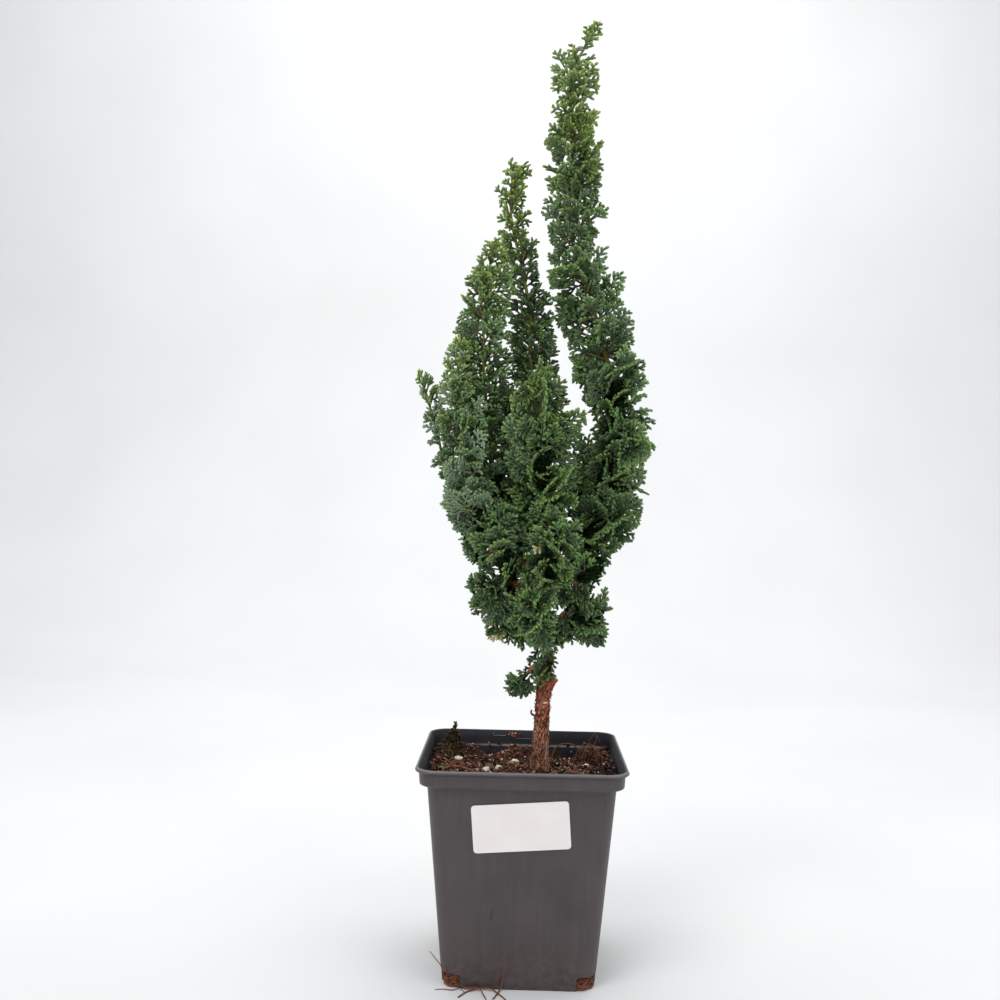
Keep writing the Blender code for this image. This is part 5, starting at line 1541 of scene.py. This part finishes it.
# Roots that have grown out at the pot's foot: rows of (x, y, z, radius)
FLOOR_ROOTS = (
    ((-33, -36.5, 3.5, 0.4), (-37.5, -39.5, 8.5, 0.3), (-42.0, -41.5, 15.0, 0.26), (-45.8, -42.5, 20.0, 0.2)),
    ((-9.2, -40.9, 13.3, 0.24), (-7.8, -41.2, 9.2, 0.34), (-8.3, -41.6, 4.7, 0.4), (-9.7, -43.0, 0.7, 0.42),
     (-12.6, -52.0, 0.5, 0.38)),
    ((-31, -38.5, 1.2, 0.4), (-26, -41.0, 1.2, 0.42), (-20.5, -41.6, 1.5, 0.42), (-26.2, -44.2, 0.5, 0.4),
     (-30.4, -51.0, 0.5, 0.34)),
    ((-28, -41.2, 0.9, 0.3), (-20.3, -42.0, 1.3, 0.3), (-17.8, -46.8, 0.5, 0.3), (-16.1, -52.5, 0.4, 0.26)),
    ((-24, -41.2, 1.0, 0.34), (-14.5, -41.8, 1.3, 0.4), (-9.7, -46.3, 0.5, 0.38), (-6.0, -52.5, 0.5, 0.32)),
    ((-30, -40.5, 1.0, 0.26), (-34, -42.5, 0.5, 0.24), (-39, -41.5, 0.4, 0.22), (-43, -42.5, 0.4, 0.16)),
    ((-30, -40.8, 0.8, 0.2), (-27.5, -45, 0.4, 0.2), (-29.5, -48.5, 0.4, 0.18)),
)


def build_notch_roots(surface):
    """Roots coiled in the open bottom corners, with a few hairs that curl out onto the floor."""
    draws = random.Random(88)
    heap = Heap()
    for quarter in range(4):
        turn = quarter * math.pi / 2 + math.pi / 4
        way = np.array((math.cos(turn), math.sin(turn)))
        flat = np.array((-way[1], way[0]))
        corner = (wall_half(4.0) - POT_WALL - GAP - NOTCH_ROUND) * math.sqrt(2)
        for strand in range(12):
            coil = strand % 3 == 2
            z = 3.8 if coil else 0.8 + 0.62 * strand
            swing, phase = (draws.uniform(1.8, 2.9), draws.uniform(0, 6.28)) if coil else (0.7, draws.uniform(0, 6.28))
            rows = []
            for k in range(9):
                aside = 6.7 * (2 * k / 8 - 1)
                depth = corner + math.sqrt(NOTCH_ROUND**2 - aside**2) + draws.uniform(-0.2, 0.8) + 0.4 * coil
                spot = way * depth + flat * aside
                height = z + swing * math.sin(0.9 * k + phase) + draws.uniform(-0.3, 0.3)
                rows.append((spot[0], spot[1], max(0.7, height), draws.uniform(0.28, 0.58)))
            points, quads, caps = tube(smooth_route(rows, 0.8), 6)
            heap.add(points, quads, caps, (0, draws.uniform(0.1, 1.0), 0, 0))
    for rows in FLOOR_ROOTS:
        points, quads, caps = tube(smooth_route(rows, 1.0), 6)
        heap.add(points, quads, caps, (0, draws.uniform(0.45, 0.8), 0, 0))
    obj = piece("corner_roots", heap.mesh("corner_roots"), surface)


def build_tuft():
    """The dead moss tuft: small pointed leaves set round thin stalks."""
    draws = random.Random(29)
    low, high = (Vector(corner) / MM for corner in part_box("dry_tuft"))
    foot = np.array(((low.x + high.x) / 2, (low.y + high.y) / 2, low.z))
    heap = Heap()
    stalks = (
        (0.4, 0.0, 1.14), (-3.6, 0.3, 0.80), (3.6, -0.4, 0.72), (-7.0, -1.4, 0.56), (6.2, 0.8, 0.44), (1.6, -3.0, 0.5),
        (-1.6, 0.6, 0.92), (-5.2, 1.5, 0.66), (2.0, 0.6, 0.84),
    )
    for dx, dy, share in stalks:
        height = (high.z - low.z) * share
        rows = [(*foot, 0.6), (foot[0] + dx * 0.5, foot[1] + dy * 0.5, foot[2] + height * 0.5, 0.5)]
        rows.append((foot[0] + dx * 0.9, foot[1] + dy * 0.9, foot[2] + height, 0.25))
        route = smooth_route(rows, 0.6)
        points, quads, caps = tube(route, 6)
        heap.add(points, quads, caps, (0, draws.uniform(0.1, 0.5), 0, 0))
        for i in range(2, len(route)):
            for _ in range(3):
                angle = draws.uniform(0, 6.28)
                t = i / len(route)
                reach = draws.uniform(2.4, 5.2) * (1 - 0.55 * t)
                out = np.array((math.cos(angle), math.sin(angle), draws.uniform(0.3, 1.3)))
                out /= np.linalg.norm(out)
                tip = route[i, :3] + out * reach
                middle = route[i, :3] + out * reach * 0.5 + np.array((0, 0, 0.25))
                blade = [(*route[i, :3], 0.30), (*middle, 0.36), (*tip, 0.06)]
                points, quads, caps = tube(blade, 4)
                heap.add(points, quads, caps, (0, draws.random(), 0, 0))
    surface = toned_material("dead_moss", (0.014, 0.008, 0.005), (0.17, 0.115, 0.055), 900)
    obj = piece("dry_tuft_leaves", heap.mesh("dry_tuft_leaves"), surface)
    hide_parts("dry_tuft")


def build_moss():
    """Small green moss cushions on the soil."""
    draws = random.Random(63)
    heap = Heap()
    for x, y, wide, count in (
        (-18.6, 14, 2.2, 64), (-44, -3, 2.2, 46), (-22, -30, 2.2, 50), (33, -6, 1.4, 22), (24, -34, 1.8, 36),
    ):
        for _ in range(count):
            angle, far = draws.uniform(0, 6.28), wide * math.sqrt(draws.random())
            px, py = x + far * math.cos(angle), y + far * math.sin(angle)
            foot = np.array((px, py, soil_top(px, py)))
            lean = np.array((draws.uniform(-0.5, 0.5), draws.uniform(-0.5, 0.5), 1.0))
            tall = draws.uniform(0.9, 2.2)
            rows = [(*foot, 0.22), (*(foot + lean * tall * 0.5), 0.3), (*(foot + lean * tall), 0.08)]
            points, quads, caps = tube(rows, 4)
            heap.add(points, quads, caps, (0, draws.random(), 0, 0))
    surface = toned_material("green_moss", (0.06, 0.10, 0.035), (0.34, 0.42, 0.18), 900)
    obj = piece("moss_cushions", heap.mesh("moss_cushions"), surface)


PERLITE_SPOTS = (
    (-37.1, 28.1, 2.0), (-35.2, 27.2, 1.3), (-19.8, -6.3, 2.5), (-18.2, -4.5, 1.6), (-13, -0.9, 1.9), (-12, 11.2, 1.3),
    (-10.6, 1.5, 1.4), (-3.2, 24.6, 1.9), (-4.6, 22.8, 1.5), (-21, -24, 2.2), (-9, -20, 1.8), (-30, 14, 1.0),
    (46, 11, 1.0), (37.2, 8.9, 1.0), (35.9, 7, 1.2), (22, -30, 1.4), (-26, 4, 0.9), (4, -32, 1.6), (30, -34, 1.8),
)

# A smear of crumbs that sticks to the pot's inner back wall: x, height and half width in mm
WALL_CRUMBS = (-4.9, 113.2, 3.8)

# Fine raised lines on the inner back wall: rows of (x, height) in mm
MOULDED_LINES = (((-16.7, 114.6), (-16.7, 112.7), (-9.7, 112.7)), ((-3.7, 111.1), (13.0, 111.1)))


def build_ledge_crumbs(crumb, speck):
    """Crumbs spilled over the pot's inner ledge, heaped at the front and sides, few at the back."""
    draws = random.Random(909)
    heap = Heap()
    for k in range(760):
        along = draws.uniform(-46, 46)
        out = draws.uniform(46.2, 50.4)
        x, y = ((out, along), (-out, along), (along, -out), (along, out))[k % 4]
        if y > 12 and draws.random() < (0.5 if y < 45 else 0.9):
            continue
        light = draws.random() < 0.1
        size = draws.uniform(0.2, 0.45) if light else draws.uniform(0.5, 1.5)
        pile = draws.uniform(0, 1.6 if y < 12 else 0.5)
        points, triangles = lump(draws, size, 0.7)
        points = points + np.array((x, y, COLLAR_BOTTOM + POT_WALL + size * 0.4 + pile))
        heap.add(points, [], triangles, (0, draws.random() ** (0.5 if light else 2.6), 0, 0), slot=int(light))
    obj = piece("ledge_crumbs", heap.mesh("ledge_crumbs", smooth=False), crumb, speck)


def build_wall_marks(crumb, white):
    """Crumbs stuck to the inner back wall, and the fine lines moulded in it."""
    draws = random.Random(202)
    wall = COLLAR_HALF - POT_WALL - 0.2
    heap = Heap()
    middle, height, half = WALL_CRUMBS
    for k in range(44):
        size = draws.uniform(0.45, 1.0) * (0.6 if k % 6 == 0 else 1.0)
        points, triangles = lump(draws, size, 0.8)
        spot = (middle + draws.gauss(0, half * 0.5), wall - 0.25, height + draws.gauss(0, 0.6))
        heap.add(points * (1, 0.5, 1) + spot, [], triangles, (0, draws.uniform(0.3, 1.0), 0, 0), slot=int(k % 6 == 0))
    obj = piece("wall_crumbs", heap.mesh("wall_crumbs", smooth=False), crumb, white)
    heap = Heap()
    for line in MOULDED_LINES:
        rows = [(x, wall - 0.05, z, 0.16) for x, z in line]
        points, quads, caps = tube(smooth_route(rows, 0.4), 6)
        heap.add(points, quads, caps, (0, 0, 0, 0))
    ridge = speckled_material("moulded_ridge", (0.16, 0.16, 0.18), (0.26, 0.26, 0.28), 300, 0.5, 0.1)
    obj = piece("moulded_lines", heap.mesh("moulded_lines"), ridge)


def build_soil_cover():
    crumb = toned_material("peat_crumbs", (0.007, 0.003, 0.0025), (0.300, 0.105, 0.062), 700, 0.95)
    white = toned_material("perlite", (0.80, 0.68, 0.46), (0.96, 0.93, 0.84), 600, 0.85, 0.75)
    chip = toned_material("bark_chip", (0.16, 0.060, 0.026), (0.74, 0.44, 0.21), 500)
    scatter_lumps("peat_crumbs", 1500, (0.45, 1.7), crumb, 5, darkening=2.8)
    speck = toned_material("light_speck", (0.42, 0.20, 0.12), (0.92, 0.80, 0.68), 900, 0.9, 0.8)
    scatter_lumps("light_specks", 620, (0.16, 0.42), speck, 12, 0.8, lift=2.2)
    build_ledge_crumbs(crumb, speck)
    scatter_lumps("perlite_grains", 190, (0.22, 0.70), white, 6, 0.85, PERLITE_SPOTS, 0.55)
    scatter_lumps("bark_chips", 210, (0.5, 1.6), chip, 8, 0.32, lift=0.5, darkening=1.3)
    build_wall_marks(crumb, white)


# Stage


def build_stage():
    """A plain pale floor that curves up into a backdrop, soft lights and the camera."""
    profile = [(-1.6, 0.0), (0.9, 0.0)]
    for k in range(1, 13):
        angle = math.radians(90 * k / 12)
        profile.append((0.9 + 0.6 * math.sin(angle), 0.6 - 0.6 * math.cos(angle)))
    profile.append((1.5, 3.0))
    points = [(x, y, z) for y, z in profile for x in (-2.6, 2.6)]
    quads = [(2 * k, 2 * k + 1, 2 * k + 3, 2 * k + 2) for k in range(len(profile) - 1)]
    mesh = mesh_from("floor", points, [quads])
    s = Shader("floor_finish", roughness=0.8, specular=0.2)
    mesh.materials.append(s.finish(s.ramp(s.noise(s.place(), 3, 2), (0.3, (0.80, 0.79, 0.78)), (0.7, (0.84, 0.835, 0.83)))))
    link(bpy.data.objects.new("floor", mesh))

    world = bpy.data.worlds.new("studio")
    world.use_nodes = True
    world.node_tree.nodes["Background"].inputs["Color"].default_value = (0.86, 0.93, 1.0, 1.0)
    world.node_tree.nodes["Background"].inputs["Strength"].default_value = 0.42
    bpy.context.scene.world = world
    for name, spot, aim, size, power in (
        ("key_light", (-0.7, -1.1, 1.5), (0, 0, 0.2), 0.9, 12),
        ("fill_light", (1.1, -0.9, 0.9), (0, 0, 0.2), 1.0, 5),
        ("top_light", (0.1, 0.1, 1.7), (0, 0, 0.1), 1.1, 7),
        ("back_light", (0.0, 0.55, 1.5), (0, 1.4, 0.6), 1.6, 12),
    ):
        lamp = bpy.data.lights.new(name, "AREA")
        lamp.size = size
        lamp.energy = power
        obj = link(bpy.data.objects.new(name, lamp))
        obj.location = spot
        obj.rotation_euler = (Vector(aim) - Vector(spot)).to_track_quat("-Z", "Y").to_euler()

    yaw, pitch, roll = -0.0203, -0.0026, 0.0189
    ahead = Vector((math.sin(yaw) * math.cos(pitch), math.cos(yaw) * math.cos(pitch), -math.sin(pitch)))
    right = Vector((math.cos(yaw), -math.sin(yaw), 0))
    up = right.cross(ahead)
    level_right = right * math.cos(roll) + up * math.sin(roll)
    level_up = up * math.cos(roll) - right * math.sin(roll)
    lens = bpy.data.cameras.new("camera")
    lens.sensor_width = 36.0
    lens.lens = 36.0 * 1.12613
    lens.clip_start = 0.01
    camera = link(bpy.data.objects.new("camera", lens))
    facing = Matrix((level_right, level_up, -ahead)).transposed().to_4x4()
    facing.translation = Vector((-2.2367, -622.6027, 251.6995)) * MM
    camera.matrix_world = facing
    bpy.context.scene.camera = camera
    bpy.context.scene.view_settings.view_transform = "Standard"


build_stage()
build_pot()
build_soil()
fibre_surface = build_fibres()
build_root_arcs(speckled_material("root_bark", (0.070, 0.021, 0.013), (0.33, 0.115, 0.066), 700, 0.75))
build_notch_roots(toned_material("corner_root", (0.06, 0.018, 0.010), (0.36, 0.13, 0.07), 700))
build_soil_cover()
build_moss()
build_tuft()
build_trunk()
build_foliage()
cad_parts["label"].data.materials.clear()
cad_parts["label"].data.materials.append(label_material())
